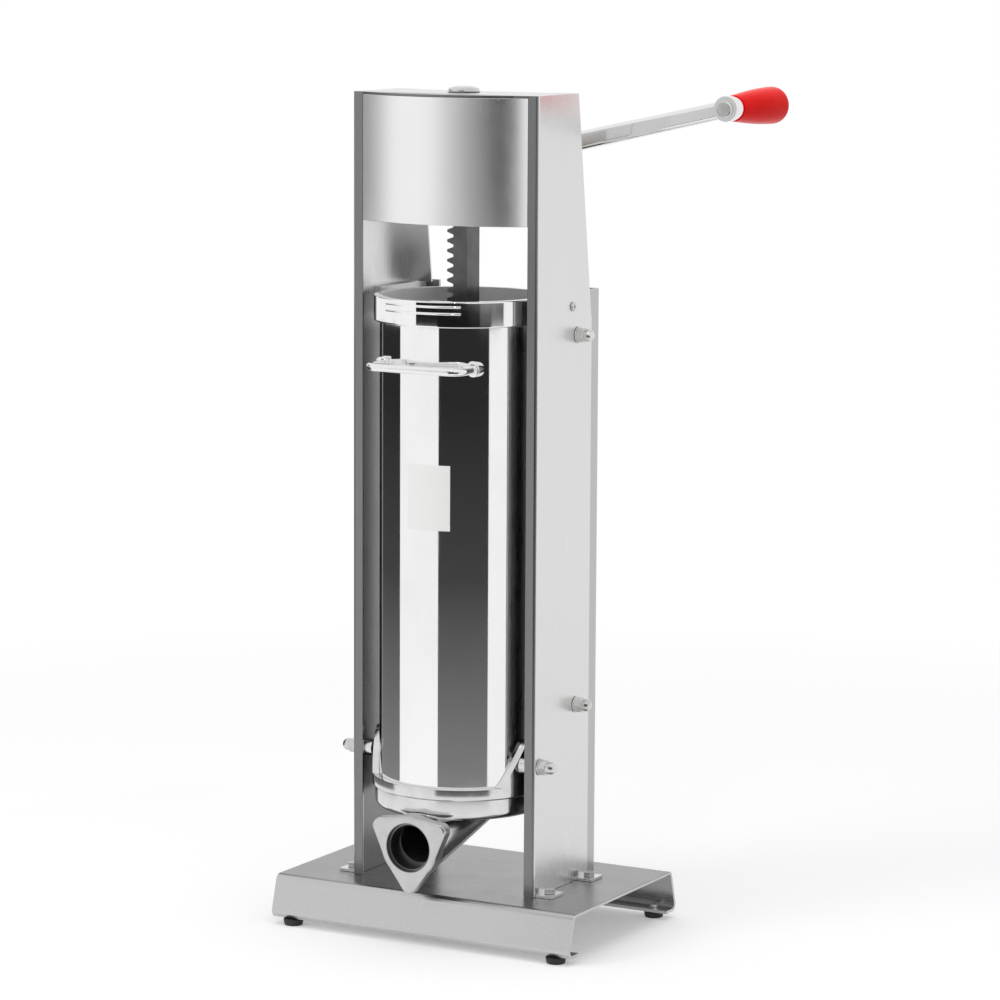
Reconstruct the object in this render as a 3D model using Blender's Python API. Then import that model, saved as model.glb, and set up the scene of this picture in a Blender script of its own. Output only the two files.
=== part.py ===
"""Vertical sausage stuffer: a rack pushes a piston down a steel cylinder, driven by a crank at the back.

The model is built about the cylinder's axis, with the floor at zero, X to the right, the filling
spout towards -Y and +Z up. At the end the whole machine is moved so that its origin lies under the
middle of its bounding box.
"""

from math import acos, cos, pi, radians, sin, tan

import bmesh
import bpy
from mathutils import Matrix, Vector

MM = 0.001

# Clearances
GAP = 0.3 * MM             # between pieces that touch
RUNNING = 0.5 * MM         # between a moving piece and its guide
CUT_MARGIN = 2 * MM        # how far a cutter runs past the wall that it cuts

# Cylinder and piston
CYLINDER_RADIUS = 80 * MM
CYLINDER_WALL = 2 * MM
FILLING_GAP = 69.5 * MM    # from the cylinder's top to the head
COLLAR_WALL = 5.5 * MM
COLLAR_HEIGHT = 25 * MM
COLLAR_EDGE = 1 * MM
RIB_SPREAD = radians(28)
RIB_STAND = 1.6 * MM
RIB_HEIGHT = 2.2 * MM
RIB_PITCH = 6.4 * MM
PISTON_REST = 3 * MM       # piston above the cylinder's lower end
PISTON_THICKNESS = 26 * MM
PISTON_PLAY = 1.5 * MM
PISTON_DISH = 4 * MM
PISTON_BOSS_RADIUS = 24 * MM
PISTON_BOSS_HEIGHT = 12 * MM
PISTON_RECESS_RADIUS = 15 * MM
PISTON_RECESS_DEPTH = 13 * MM
PISTON_NUT_FLAT = 22 * MM
PISTON_NUT_HEIGHT = 8 * MM
SEAL_HEIGHT = 9 * MM
SEAL_DEPTH = 5 * MM
SEAL_PLAY = 0.4 * MM
SEAL_CROWN = 1 * MM
LIFT_CLEARANCE = 4 * MM    # piston above the collar when the rack is fully raised

# Handle on the cylinder
HANDLE_DROP = 64 * MM      # below the cylinder's top
HANDLE_HALF_WIDTH = 50 * MM
HANDLE_STAND = 18 * MM
HANDLE_ROD = 8 * MM
HANDLE_BEND = 12 * MM
HANDLE_FOOT = 14 * MM
HANDLE_FOOT_DEPTH = 8 * MM
HANDLE_FACETS = 10

# Rack and gear train
RACK_WIDTH = 22 * MM
RACK_DEPTH = 24 * MM
RACK_STAND = 0.6 * MM      # rack above the head
RACK_PLAIN_TOP = 16 * MM
RACK_STUD_RADIUS = 7 * MM
RACK_STUD_SHORT = 3 * MM   # stud's end above the piston's underside
CAP_RADIUS = 15 * MM
CAP_HEIGHT = 5.4 * MM
CAP_EDGE = 2.4 * MM
GEAR_ROOM_ABOVE = 26 * MM  # from the big gear's tips to the head's top
GEAR_ROOM_BELOW = 8.5 * MM
PRESSURE_ANGLE = radians(20)
ADDENDUM = 1.0             # in modules
DEDENDUM = 1.25            # in modules
BACKLASH = 0.5 * MM
RACK_MODULE = 3 * MM
RACK_PINION_TEETH = 12
GEAR_MODULE = 2 * MM
BIG_GEAR_TEETH = 42
SMALL_GEAR_TEETH = 12
FLANK_STEPS = 2
BIG_GEAR_WIDTH = 10 * MM
BIG_GEAR_HUB = 14 * MM
GEAR_SIDE_GAP = 2 * MM
SHAFT_RADIUS = 9 * MM
SLOW_SHAFT_RADIUS = 8 * MM
SQUARE_SIDE = 11 * MM
SQUARE_LENGTH = 18 * MM
BUSH_WALL = 3.5 * MM
BUSH_FLANGE = 3 * MM
BUSH_FLANGE_THICKNESS = 2 * MM
BUSH_PLAY = 0.25 * MM
BUSH_SLEEVE = 35 * MM      # how far the rear bushes reach behind the head
GUIDE_WIDTH = 8 * MM
GUIDE_INSET = 12 * MM

# Crank
CRANK_ANGLE = radians(12.57)
CRANK_LENGTH = 259.1 * MM
CRANK_SWEEP_GAP = 3 * MM   # between the rails and what turns past them
CRANK_THICKNESS = 10 * MM
CRANK_ROOT_HEIGHT = 20 * MM
CRANK_TIP_HEIGHT = 16.5 * MM
CRANK_HUB_RADIUS = 18 * MM
CRANK_HUB_STAND = 20 * MM  # hub in front of the arm
CRANK_BOSS_RADIUS = 12 * MM
FACE_STEP = 1 * MM         # hub and boss beyond the arm's rear face
CRANK_WASHER_RADIUS = 13 * MM
CRANK_WASHER = 2.5 * MM
CRANK_SCREW_RADIUS = 3 * MM
CRANK_SCREW_HEAD_RADIUS = 7 * MM
CRANK_SCREW_HEAD = 4.5 * MM
CRANK_SCREW_DEPTH = 12 * MM
GRIP_PIN_RADIUS = 5 * MM
GRIP_PIN_HEAD = 8 * MM
GRIP_PIN_HEAD_THICKNESS = 3 * MM
GRIP_COLLAR_RADIUS = 11.5 * MM
GRIP_COLLAR_LENGTH = 5 * MM
GRIP_START_RADIUS = 12.5 * MM
GRIP_END_RADIUS = 18 * MM
GRIP_LENGTH = 96 * MM
GRIP_NOSE = 10 * MM
GRIP_COVER = 20 * MM       # grip beyond the end of its pin
GRIP_PIN_END_GAP = 2 * MM

# Posts and their inner rails
SHEET = 2 * MM
POST_ROOM = 15.5 * MM      # from the collar to a post's outer face
POST_HEIGHT = 765.5 * MM   # from the base's top
POST_FRONT = -37 * MM
POST_BACK = 73 * MM
POST_TOP_BACK = 44 * MM
POST_SLANT_DROP = 22 * MM  # slant's start below the cylinder's top
POST_FLANGE = 11 * MM
POST_BACK_FLANGE = 27 * MM
POST_BEND = 3 * MM
TAB_LENGTH = 18 * MM
TAB_THICKNESS = 2.5 * MM
TAB_WIDTH = 24 * MM
TAB_INSETS = (16 * MM, 13 * MM)
RAIL_THICKNESS = 3 * MM
RAIL_BEHIND = 22 * MM      # rail behind the post
RAIL_RISE = 3 * MM         # rail above the cylinder
RAIL_FLANGE = 18 * MM
RAIL_LIP_START = -2 * MM
RAIL_LIP_END = 84 * MM
RAIL_LIP_HEIGHT = 9 * MM
RAIL_LIP_WIDTH = 5 * MM
RAIL_BOLT_INSETS = (28 * MM, 27 * MM)
UPPER_BOLT_DROP = 38 * MM  # below the cylinder's top
LOWER_BOLT_RISE = 69 * MM  # above the cup's rim
PIVOT_FORWARD = 26 * MM    # pins in front of the cylinder's axis
PIVOT_RISE = 20 * MM       # above the cup's rim
CAP_NUT_FLAT = 13 * MM
CAP_NUT_STAND = 17 * MM
CAP_NUT_HEX = 8 * MM
CAP_NUT_DOME = 6 * MM
RAIL_BOLT_RADIUS = 4 * MM
RAIL_BOLT_HEAD = 7 * MM
RAIL_BOLT_HEAD_THICKNESS = 2.5 * MM
PIVOT_PIN_RADIUS = 5 * MM
PIVOT_PIN_SHORT = 3 * MM   # from the cylinder's side to the pin's inner end
RAIL_SCREW_INSET = 39 * MM
RAIL_SCREW_DROP = 10 * MM  # below the cylinder's top
RAIL_SCREW_RADIUS = 3 * MM
RAIL_SCREW_CAP = 4.5 * MM
RAIL_SCREW_CAP_HEIGHT = 1.8 * MM

# Head, between the posts
HEAD_BULGE = 25 * MM
HEAD_RETURN = 14 * MM
HEAD_BACK = 40 * MM
BEARING_PLATE = 4 * MM
BEARING_PLATE_BEHIND = 4 * MM
BACK_PLATE = 3 * MM

# Base
BASE_TOP = 48.5 * MM
BASE_WING = 64 * MM        # base beyond a post
BASE_BEFORE = 38.6 * MM    # base in front of the posts
BASE_BEHIND = 36 * MM      # base behind the rails
BASE_SHEET = 3 * MM
BASE_FLARE = 11 * MM
BASE_BEND = 5 * MM
LIP_WIDTH = 20 * MM
FOOT_HEIGHT = 6.4 * MM
FOOT_RADIUS = 10 * MM
FOOT_TOE_RADIUS = 9 * MM
FOOT_INSET_X = 19 * MM
FOOT_INSET_Y = 10 * MM
FOOT_SCREW_RADIUS = 2 * MM
FOOT_SCREW_HEAD = 4 * MM
FOOT_SCREW_HEAD_HEIGHT = 1.6 * MM
FOOT_NUT_HEIGHT = 2.5 * MM
FOOT_RECESS = 3.2 * MM
TAB_BOLT_RADIUS = 3 * MM
TAB_BOLT_FLAT = 10 * MM
TAB_BOLT_HEAD = 4 * MM
TAB_BOLT_END = 2 * MM      # bolt below its nut

# Bottom cup, spout and ring nut
CUP_WALL = 4 * MM
CUP_DEPTH = 17 * MM        # from the cup's underside to the gasket's seat
CUP_LIP = 14 * MM          # rim above the gasket's seat
CUP_STEP = 2.5 * MM
CUP_STEP_HEIGHT = 9 * MM
CUP_CORNER = 7 * MM
CUP_DISH = 6 * MM
CUP_SEAT_DEPTH = 3 * MM
GASKET_THICKNESS = 2.4 * MM
GASKET_WIDTH = 3.2 * MM
EAR_RISE = 22 * MM         # ear above its pin
EAR_HALF_TOP = 12 * MM
EAR_FOOT = 34 * MM         # half the ear's length at the rim
EAR_LEAN = 12 * MM         # ear's middle behind its pin
EAR_BOSS_RADIUS = 8.5 * MM
SPOUT_DROP = 24.5 * MM     # spout's axis below the cup's underside
SPOUT_REACH = 15 * MM      # spout in front of the cup
SPOUT_RADIUS = 27 * MM
SPOUT_SHOULDER = 29.5 * MM
SPOUT_BORE = 21.5 * MM
SPOUT_NECK_REACH = 1 * MM
SPOUT_BORE_STEP = 1.5 * MM
ELBOW_RADIUS = 46 * MM
ELBOW_BORE = 36 * MM
NUT_ROOM = 6 * MM          # between the nut's lobes and the base
NUT_WEB = 4 * MM
NUT_BACK_REACH = 4 * MM
NUT_HOLE = 23.3 * MM
NUT_BODY_RADIUS = 30.5 * MM
NUT_WEB_RADIUS = 30 * MM
NUT_LOBE_REACH = 45 * MM
NUT_LOBE_RADIUS = 8 * MM
NUT_LOBE_DEPTH = 13 * MM

ROUND = 36                 # facets round the large turned pieces
ELBOW_ROUND = 28           # facets round the spout, its elbow and its nut
SMALL_ROUND = 16           # facets round pins, shafts and bushes
FASTENER_ROUND = 12        # facets round bolts, nuts, screws and feet

# Sizes that follow from the ones above
SPOUT_HEIGHT = BASE_TOP + NUT_ROOM + NUT_LOBE_REACH
CUP_FLOOR = SPOUT_HEIGHT + SPOUT_DROP
CUP_SEAT = CUP_FLOOR + CUP_DEPTH
CUP_RIM = CUP_SEAT + CUP_LIP
CUP_RADIUS = CYLINDER_RADIUS + CUP_WALL
COLLAR_RADIUS = CYLINDER_RADIUS + COLLAR_WALL
SPOUT_FACE = -CUP_RADIUS - SPOUT_REACH
SPOUT_NECK = -CUP_RADIUS - SPOUT_NECK_REACH
NUT_FACE = SPOUT_FACE - NUT_WEB
NUT_BACK = -CUP_RADIUS - NUT_BACK_REACH
POST_FACE = COLLAR_RADIUS + POST_ROOM
POST_TOP = BASE_TOP + POST_HEIGHT
BIG_GEAR_TIP = GEAR_MODULE * (BIG_GEAR_TEETH / 2 + ADDENDUM)
SHAFT_HEIGHT = POST_TOP - GEAR_ROOM_ABOVE - BIG_GEAR_TIP
HEAD_BOTTOM = SHAFT_HEIGHT - BIG_GEAR_TIP - GEAR_ROOM_BELOW
RACK_TOP = POST_TOP + RACK_STAND
CYLINDER_BOTTOM = CUP_SEAT + GASKET_THICKNESS + 2 * GAP
CYLINDER_TOP = HEAD_BOTTOM - FILLING_GAP
PISTON_BOTTOM = CYLINDER_BOTTOM + PISTON_REST
HANDLE_HEIGHT = CYLINDER_TOP - HANDLE_DROP
HANDLE_REACH = CYLINDER_RADIUS + HANDLE_STAND
RAIL_TOP = CYLINDER_TOP + RAIL_RISE
RAIL_BACK = POST_BACK + RAIL_BEHIND
POST_SLANT_START = CYLINDER_TOP - POST_SLANT_DROP
TAB_PLACES = (POST_FRONT + TAB_INSETS[0], POST_BACK - TAB_INSETS[1])
RAIL_BOLT_PLACES = ((POST_BACK - RAIL_BOLT_INSETS[0], CYLINDER_TOP - UPPER_BOLT_DROP),
                    (POST_BACK - RAIL_BOLT_INSETS[1], CUP_RIM + LOWER_BOLT_RISE))
PIVOT_PLACE = (-PIVOT_FORWARD, CUP_RIM + PIVOT_RISE)
RAIL_SCREW_PLACE = (POST_BACK - RAIL_SCREW_INSET, CYLINDER_TOP - RAIL_SCREW_DROP)
EAR_TOP = PIVOT_PLACE[1] + EAR_RISE
BEARING_PLATE_FRONT = POST_FRONT + BEARING_PLATE_BEHIND
BASE_HALF_WIDTH = POST_FACE + BASE_WING
BASE_FRONT = POST_FRONT - BASE_BEFORE
BASE_BACK = RAIL_BACK + BASE_BEHIND
RACK_PITCH = pi * RACK_MODULE
RACK_PITCH_RADIUS = RACK_MODULE * RACK_PINION_TEETH / 2
MAIN_SHAFT_X = -RACK_WIDTH / 2 + ADDENDUM * RACK_MODULE - RACK_PITCH_RADIUS
SLOW_SHAFT_X = MAIN_SHAFT_X + GEAR_MODULE * (BIG_GEAR_TEETH + SMALL_GEAR_TEETH) / 2
BORE_RADIUS = CYLINDER_RADIUS - CYLINDER_WALL
PISTON_TOP = PISTON_BOTTOM + PISTON_THICKNESS
RACK_BOTTOM = PISTON_TOP + PISTON_BOSS_HEIGHT + GAP
TRAVEL = CYLINDER_TOP + LIFT_CLEARANCE - PISTON_BOTTOM
POST_INSIDE = POST_FACE - SHEET
RAIL_FACE = POST_INSIDE - GAP
RAIL_INSIDE = RAIL_FACE - RAIL_THICKNESS
HEAD_HALF_WIDTH = POST_FACE - POST_FLANGE - GAP
TOP_PLATE_BOTTOM = POST_TOP - SHEET
BASE_FOOT_LEVEL = FOOT_HEIGHT + GAP
BIG_GEAR_FRONT = RACK_DEPTH / 2 + GEAR_SIDE_GAP
BACK_PLATE_FRONT = HEAD_BACK - BACK_PLATE
CRANK_FRONT = RAIL_BACK + CRANK_SWEEP_GAP + GRIP_PIN_HEAD_THICKNESS + GAP
CRANK_BACK = CRANK_FRONT + CRANK_THICKNESS + FACE_STEP
HUB_FRONT = CRANK_FRONT - CRANK_HUB_STAND
SQUARE_START = HUB_FRONT - GAP
SQUARE_END = SQUARE_START + SQUARE_LENGTH

machine = None
materials = {}


def clear_scene():
    for thing in list(bpy.data.objects):
        bpy.data.objects.remove(thing)


def make_materials():
    looks = {
        "brushed_steel": ((0.62, 0.62, 0.61), 0.32, 1.0),
        "polished_steel": ((0.75, 0.75, 0.75), 0.08, 1.0),
        "machined_steel": ((0.50, 0.50, 0.49), 0.35, 1.0),
        "bright_nut": ((0.78, 0.78, 0.77), 0.2, 1.0),
        "cast_aluminium": ((0.66, 0.66, 0.65), 0.4, 1.0),
        "bronze": ((0.55, 0.38, 0.20), 0.4, 1.0),
        "black_rubber": ((0.03, 0.03, 0.03), 0.8, 0.0),
        "white_plastic": ((0.82, 0.82, 0.80), 0.45, 0.0),
        "red_plastic": ((0.72, 0.03, 0.02), 0.3, 0.0),
    }
    for name, (colour, roughness, metallic) in looks.items():
        material = bpy.data.materials.new(name)
        material.use_nodes = True
        shader = material.node_tree.nodes["Principled BSDF"]
        shader.inputs["Base Color"].default_value = (*colour, 1)
        shader.inputs["Roughness"].default_value = roughness
        shader.inputs["Metallic"].default_value = metallic
        materials[name] = material


def joint_axis(name, place):
    """An empty on a joint's axis, which the pieces that turn or slide with it hang from."""
    empty = bpy.data.objects.new(name, None)
    bpy.context.collection.objects.link(empty)
    empty.location = place
    empty.parent = machine
    return empty


def finish(name, mesh_edit, material, carrier=None):
    """Closes a bmesh that was made in model coordinates into a named object under its carrier."""
    bmesh.ops.recalc_face_normals(mesh_edit, faces=mesh_edit.faces)
    origin = carrier.location if carrier else Vector((0, 0, 0))
    bmesh.ops.translate(mesh_edit, verts=mesh_edit.verts, vec=-origin)
    mesh = bpy.data.meshes.new(name)
    mesh_edit.to_mesh(mesh)
    mesh_edit.free()
    mesh.shade_smooth()
    mesh.set_sharp_from_angle(angle=radians(35))
    thing = bpy.data.objects.new(name, mesh)
    bpy.context.collection.objects.link(thing)
    thing.parent = carrier or machine
    if material:
        mesh.materials.append(materials[material])
    else:
        thing.hide_render = True
        thing.display_type = "WIRE"
    return thing


def combine(thing, tool, operation):
    modifier = thing.modifiers.new(tool.name, "BOOLEAN")
    modifier.operation = operation
    modifier.solver = thing.get("solver", "EXACT")
    modifier.object = tool


def cut(thing, tool):
    combine(thing, tool, "DIFFERENCE")


def weld_on(thing, tool):
    combine(thing, tool, "UNION")


def prism(name, outline, plane, low, high, material=None, carrier=None):
    """A closed outline in a plane, extruded along the third axis from low to high."""
    spots = {
        "XY": lambda a, b: (a, b, low),
        "XZ": lambda a, b: (a, low, b),
        "YZ": lambda a, b: (low, a, b),
    }[plane]
    along = {"XY": (0, 0, 1), "XZ": (0, 1, 0), "YZ": (1, 0, 0)}[plane]
    edit = bmesh.new()
    face = edit.faces.new([edit.verts.new(spots(a, b)) for a, b in outline])
    made = bmesh.ops.extrude_face_region(edit, geom=[face])
    moved = [item for item in made["geom"] if isinstance(item, bmesh.types.BMVert)]
    bmesh.ops.translate(edit, verts=moved, vec=Vector(along) * (high - low))
    return finish(name, edit, material, carrier)


def block(name, low, high, material=None, carrier=None):
    """A box between two opposite corners."""
    (x0, y0, z0), (x1, y1, z1) = low, high
    outline = [(x0, y0), (x1, y0), (x1, y1), (x0, y1)]
    return prism(name, outline, "XY", z0, z1, material, carrier)


def turned(name, profile, place, direction, facets, material=None, carrier=None):
    """A closed profile of (radius, height) points, turned about an axis through place."""
    edit = bmesh.new()
    ring = [edit.verts.new((radius, 0, height)) for radius, height in profile]
    pairs = [(ring[i - 1], ring[i]) for i in range(len(ring))]
    edges = [edit.edges.new(pair) for pair in pairs if pair[0].co.x or pair[1].co.x]
    bmesh.ops.spin(edit, geom=ring + edges, cent=(0, 0, 0), axis=(0, 0, 1), dvec=(0, 0, 0),
                   angle=2 * pi, steps=facets, use_merge=True)
    bmesh.ops.remove_doubles(edit, verts=edit.verts, dist=1e-6)
    turn = Vector((0, 0, 1)).rotation_difference(Vector(direction)).to_matrix().to_4x4()
    bmesh.ops.transform(edit, matrix=Matrix.Translation(place) @ turn, verts=edit.verts)
    return finish(name, edit, material, carrier)


def peg(name, radius, start, end, facets=SMALL_ROUND, material=None, carrier=None):
    """A plain round bar between two points."""
    start = Vector(start)
    reach = Vector(end) - start
    profile = [(0, 0), (radius, 0), (radius, reach.length), (0, reach.length)]
    return turned(name, profile, start, reach, facets, material, carrier)


def tube_profile(inner, outer, low, high):
    return [(inner, low), (outer, low), (outer, high), (inner, high)]


def hexagon(flat, height, place, name, carrier=None, material=None):
    """A hexagonal bar along +X from place."""
    corner = flat / 2 / cos(pi / 6)
    x, y, z = place
    outline = [(y + corner * cos(k * pi / 3), z + corner * sin(k * pi / 3)) for k in range(6)]
    return prism(name, outline, "YZ", x, x + height, material, carrier)


def rounded_path(points, radius, steps=3):
    """An open path whose inner corners are replaced by arcs."""
    path = [Vector(points[0])]
    for before, corner, after in zip(points, points[1:], points[2:]):
        corner = Vector(corner)
        inward = (Vector(before) - corner).normalized()
        outward = (Vector(after) - corner).normalized()
        half = inward.angle(outward) / 2
        middle = corner + (inward + outward).normalized() * (radius / sin(half))
        first = corner + inward * (radius / tan(half)) - middle
        last = corner + outward * (radius / tan(half)) - middle
        for step in range(steps + 1):
            share = step / steps
            path.append(middle + first.lerp(last, share).normalized() * radius)
    path.append(Vector(points[-1]))
    return path


def arc(centre, radius, start, end, steps):
    spread = [start + (end - start) * step / steps for step in range(steps + 1)]
    return [(centre[0] + radius * cos(angle), centre[1] + radius * sin(angle)) for angle in spread]


def sheet_outline(path, thickness):
    """The closed outline of a bent sheet whose middle follows a path."""
    path = [Vector(point) for point in path]
    left, right = [], []
    for i, point in enumerate(path):
        before = (point - path[i - 1]).normalized() if i else None
        after = (path[i + 1] - point).normalized() if i + 1 < len(path) else None
        along = ((before or after) + (after or before)).normalized()
        side = Vector((-along.y, along.x))
        stretch = side.dot(Vector((-(before or after).y, (before or after).x)))
        offset = side * (thickness / 2 / stretch)
        left.append(point + offset)
        right.append(point - offset)
    return [tuple(point) for point in left + right[::-1]]


def hull_outline(circles, steps):
    """The tight band round several circles, each given as (x, y, radius)."""
    cloud = []
    for x, y, radius in circles:
        for step in range(steps):
            angle = 2 * pi * step / steps
            cloud.append((x + radius * cos(angle), y + radius * sin(angle)))
    cloud = sorted(set(cloud))

    def chain(points):
        kept = []
        for point in points:
            while len(kept) > 1:
                (ax, ay), (bx, by) = kept[-2], kept[-1]
                if (bx - ax) * (point[1] - ay) - (by - ay) * (point[0] - ax) > 0:
                    break
                kept.pop()
            kept.append(point)
        return kept[:-1]

    return chain(cloud) + chain(cloud[::-1])


def hull_solid(name, rings, facets):
    """The convex body that spans several rings, each given as (centre, axis, radius)."""
    edit = bmesh.new()
    for centre, direction, radius in rings:
        turn = Vector((0, 0, 1)).rotation_difference(Vector(direction)).to_matrix().to_4x4()
        bmesh.ops.create_circle(edit, segments=facets, radius=radius,
                                matrix=Matrix.Translation(centre) @ turn)
    bmesh.ops.convex_hull(edit, input=edit.verts)
    loose = [vert for vert in edit.verts if not vert.link_faces]
    bmesh.ops.delete(edit, geom=loose, context="VERTS")
    return finish(name, edit, None)


def involute(angle):
    return tan(angle) - angle


def gear_outline(module, teeth, centre, first_tooth, steps=FLANK_STEPS):
    """The tooth outline of a spur gear in the XZ plane, with one tooth centred at first_tooth."""
    pitch_radius = module * teeth / 2
    base = pitch_radius * cos(PRESSURE_ANGLE)
    tip = pitch_radius + ADDENDUM * module
    root = pitch_radius - DEDENDUM * module
    half = pi / (2 * teeth) - BACKLASH / (4 * pitch_radius) + involute(PRESSURE_ANGLE)
    start = max(base, root)
    radii = [start + (tip - start) * step / steps for step in range(steps + 1)]
    if root < base:
        radii.insert(0, root)
    flank = [(radius, half - involute(acos(min(1, base / max(radius, base))))) for radius in radii]
    outline = []
    for tooth in range(teeth):
        middle = first_tooth + 2 * pi * tooth / teeth
        sides = [(radius, middle - angle) for radius, angle in flank]
        sides += [(radius, middle + angle) for radius, angle in reversed(flank)]
        outline += [(centre[0] + r * cos(a), centre[1] + r * sin(a)) for r, a in sides]
    return outline


def rack_outline():
    """The rack's side in the XZ plane: teeth towards -X, with a space level with the main shaft."""
    tip_x = -RACK_WIDTH / 2
    root_x = tip_x + (ADDENDUM + DEDENDUM) * RACK_MODULE
    thickness = RACK_PITCH / 2 - BACKLASH / 2
    half_tip = thickness / 2 - ADDENDUM * RACK_MODULE * tan(PRESSURE_ANGLE)
    half_root = thickness / 2 + DEDENDUM * RACK_MODULE * tan(PRESSURE_ANGLE)
    below = int((TRAVEL + 2 * RACK_PITCH) / RACK_PITCH)
    above = int((RACK_TOP - RACK_PLAIN_TOP - SHAFT_HEIGHT) / RACK_PITCH)
    outline = [(RACK_WIDTH / 2, RACK_BOTTOM), (RACK_WIDTH / 2, RACK_TOP), (tip_x, RACK_TOP)]
    first = SHAFT_HEIGHT + (above - 0.5) * RACK_PITCH
    outline.append((tip_x, first + RACK_PITCH - half_tip))
    outline.append((root_x, first + RACK_PITCH - half_root))
    for tooth in range(above + below):
        level = first - tooth * RACK_PITCH
        outline.append((root_x, level + half_root))
        outline.append((tip_x, level + half_tip))
        outline.append((tip_x, level - half_tip))
        outline.append((root_x, level - half_root))
    last = first - (above + below) * RACK_PITCH
    outline.append((root_x, last + half_root))
    outline.append((tip_x, last + half_tip))
    outline.append((tip_x, RACK_BOTTOM))
    return outline


def make_base():
    level = BASE_FOOT_LEVEL + BASE_SHEET / 2
    top = BASE_TOP - BASE_SHEET / 2
    front = BASE_FRONT - BASE_FLARE + BASE_SHEET / 2
    back = BASE_BACK + BASE_FLARE - BASE_SHEET / 2
    corners = [
        (front + LIP_WIDTH, level), (front, level), (BASE_FRONT + BASE_SHEET / 2, top),
        (BASE_BACK - BASE_SHEET / 2, top), (back, level), (back - LIP_WIDTH, level),
    ]
    outline = sheet_outline(rounded_path(corners, BASE_BEND), BASE_SHEET)
    base = prism("base_plate", outline, "YZ", -BASE_HALF_WIDTH, BASE_HALF_WIDTH, "brushed_steel")
    for side in (-1, 1):
        for row, y in zip(("front", "rear"), (front + FOOT_INSET_Y, back - FOOT_INSET_Y)):
            x = side * (BASE_HALF_WIDTH - FOOT_INSET_X)
            label = f"{row}_{'left' if side < 0 else 'right'}"
            cut(base, peg(f"foot_hole_{label}", FOOT_SCREW_RADIUS + GAP,
                          (x, y, BASE_FOOT_LEVEL - CUT_MARGIN),
                          (x, y, BASE_FOOT_LEVEL + BASE_SHEET + CUT_MARGIN), FASTENER_ROUND))
            make_foot(label, x, y)
        for number, y in enumerate(TAB_PLACES):
            x = side * (POST_FACE + TAB_LENGTH / 2)
            cut(base, peg(f"tab_hole_{side}_{number}", TAB_BOLT_RADIUS + GAP,
                          (x, y, BASE_TOP - BASE_SHEET - CUT_MARGIN),
                          (x, y, BASE_TOP + CUT_MARGIN), FASTENER_ROUND))


def make_foot(label, x, y):
    """A rubber foot under the base's lip, and the screw that goes up through both into a nut."""
    inner = FOOT_SCREW_RADIUS + GAP
    recess = FOOT_SCREW_HEAD + GAP
    profile = [
        (inner, FOOT_RECESS), (recess, FOOT_RECESS), (recess, 0), (FOOT_TOE_RADIUS, 0),
        (FOOT_RADIUS, FOOT_HEIGHT), (inner, FOOT_HEIGHT),
    ]
    turned(f"foot_{label}", profile, (x, y, 0), (0, 0, 1), FASTENER_ROUND, "black_rubber")
    head_low = FOOT_RECESS - GAP - FOOT_SCREW_HEAD_HEIGHT
    nut_low = BASE_FOOT_LEVEL + BASE_SHEET + GAP
    nut_high = nut_low + FOOT_NUT_HEIGHT
    profile = [
        (0, head_low), (FOOT_SCREW_HEAD, head_low), (FOOT_SCREW_HEAD, FOOT_RECESS - GAP),
        (FOOT_SCREW_RADIUS, FOOT_RECESS - GAP), (FOOT_SCREW_RADIUS, nut_low),
        (FOOT_SCREW_HEAD, nut_low), (FOOT_SCREW_HEAD, nut_high), (0, nut_high),
    ]
    turned(f"foot_screw_{label}", profile, (x, y, 0), (0, 0, 1), FASTENER_ROUND, "bright_nut")


def post_back_at(z):
    """Where the slanted upper part of a post's back edge lies at a height."""
    share = (z - POST_SLANT_START) / (POST_TOP - POST_SLANT_START)
    return POST_BACK + (POST_TOP_BACK - POST_BACK) * share


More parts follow.
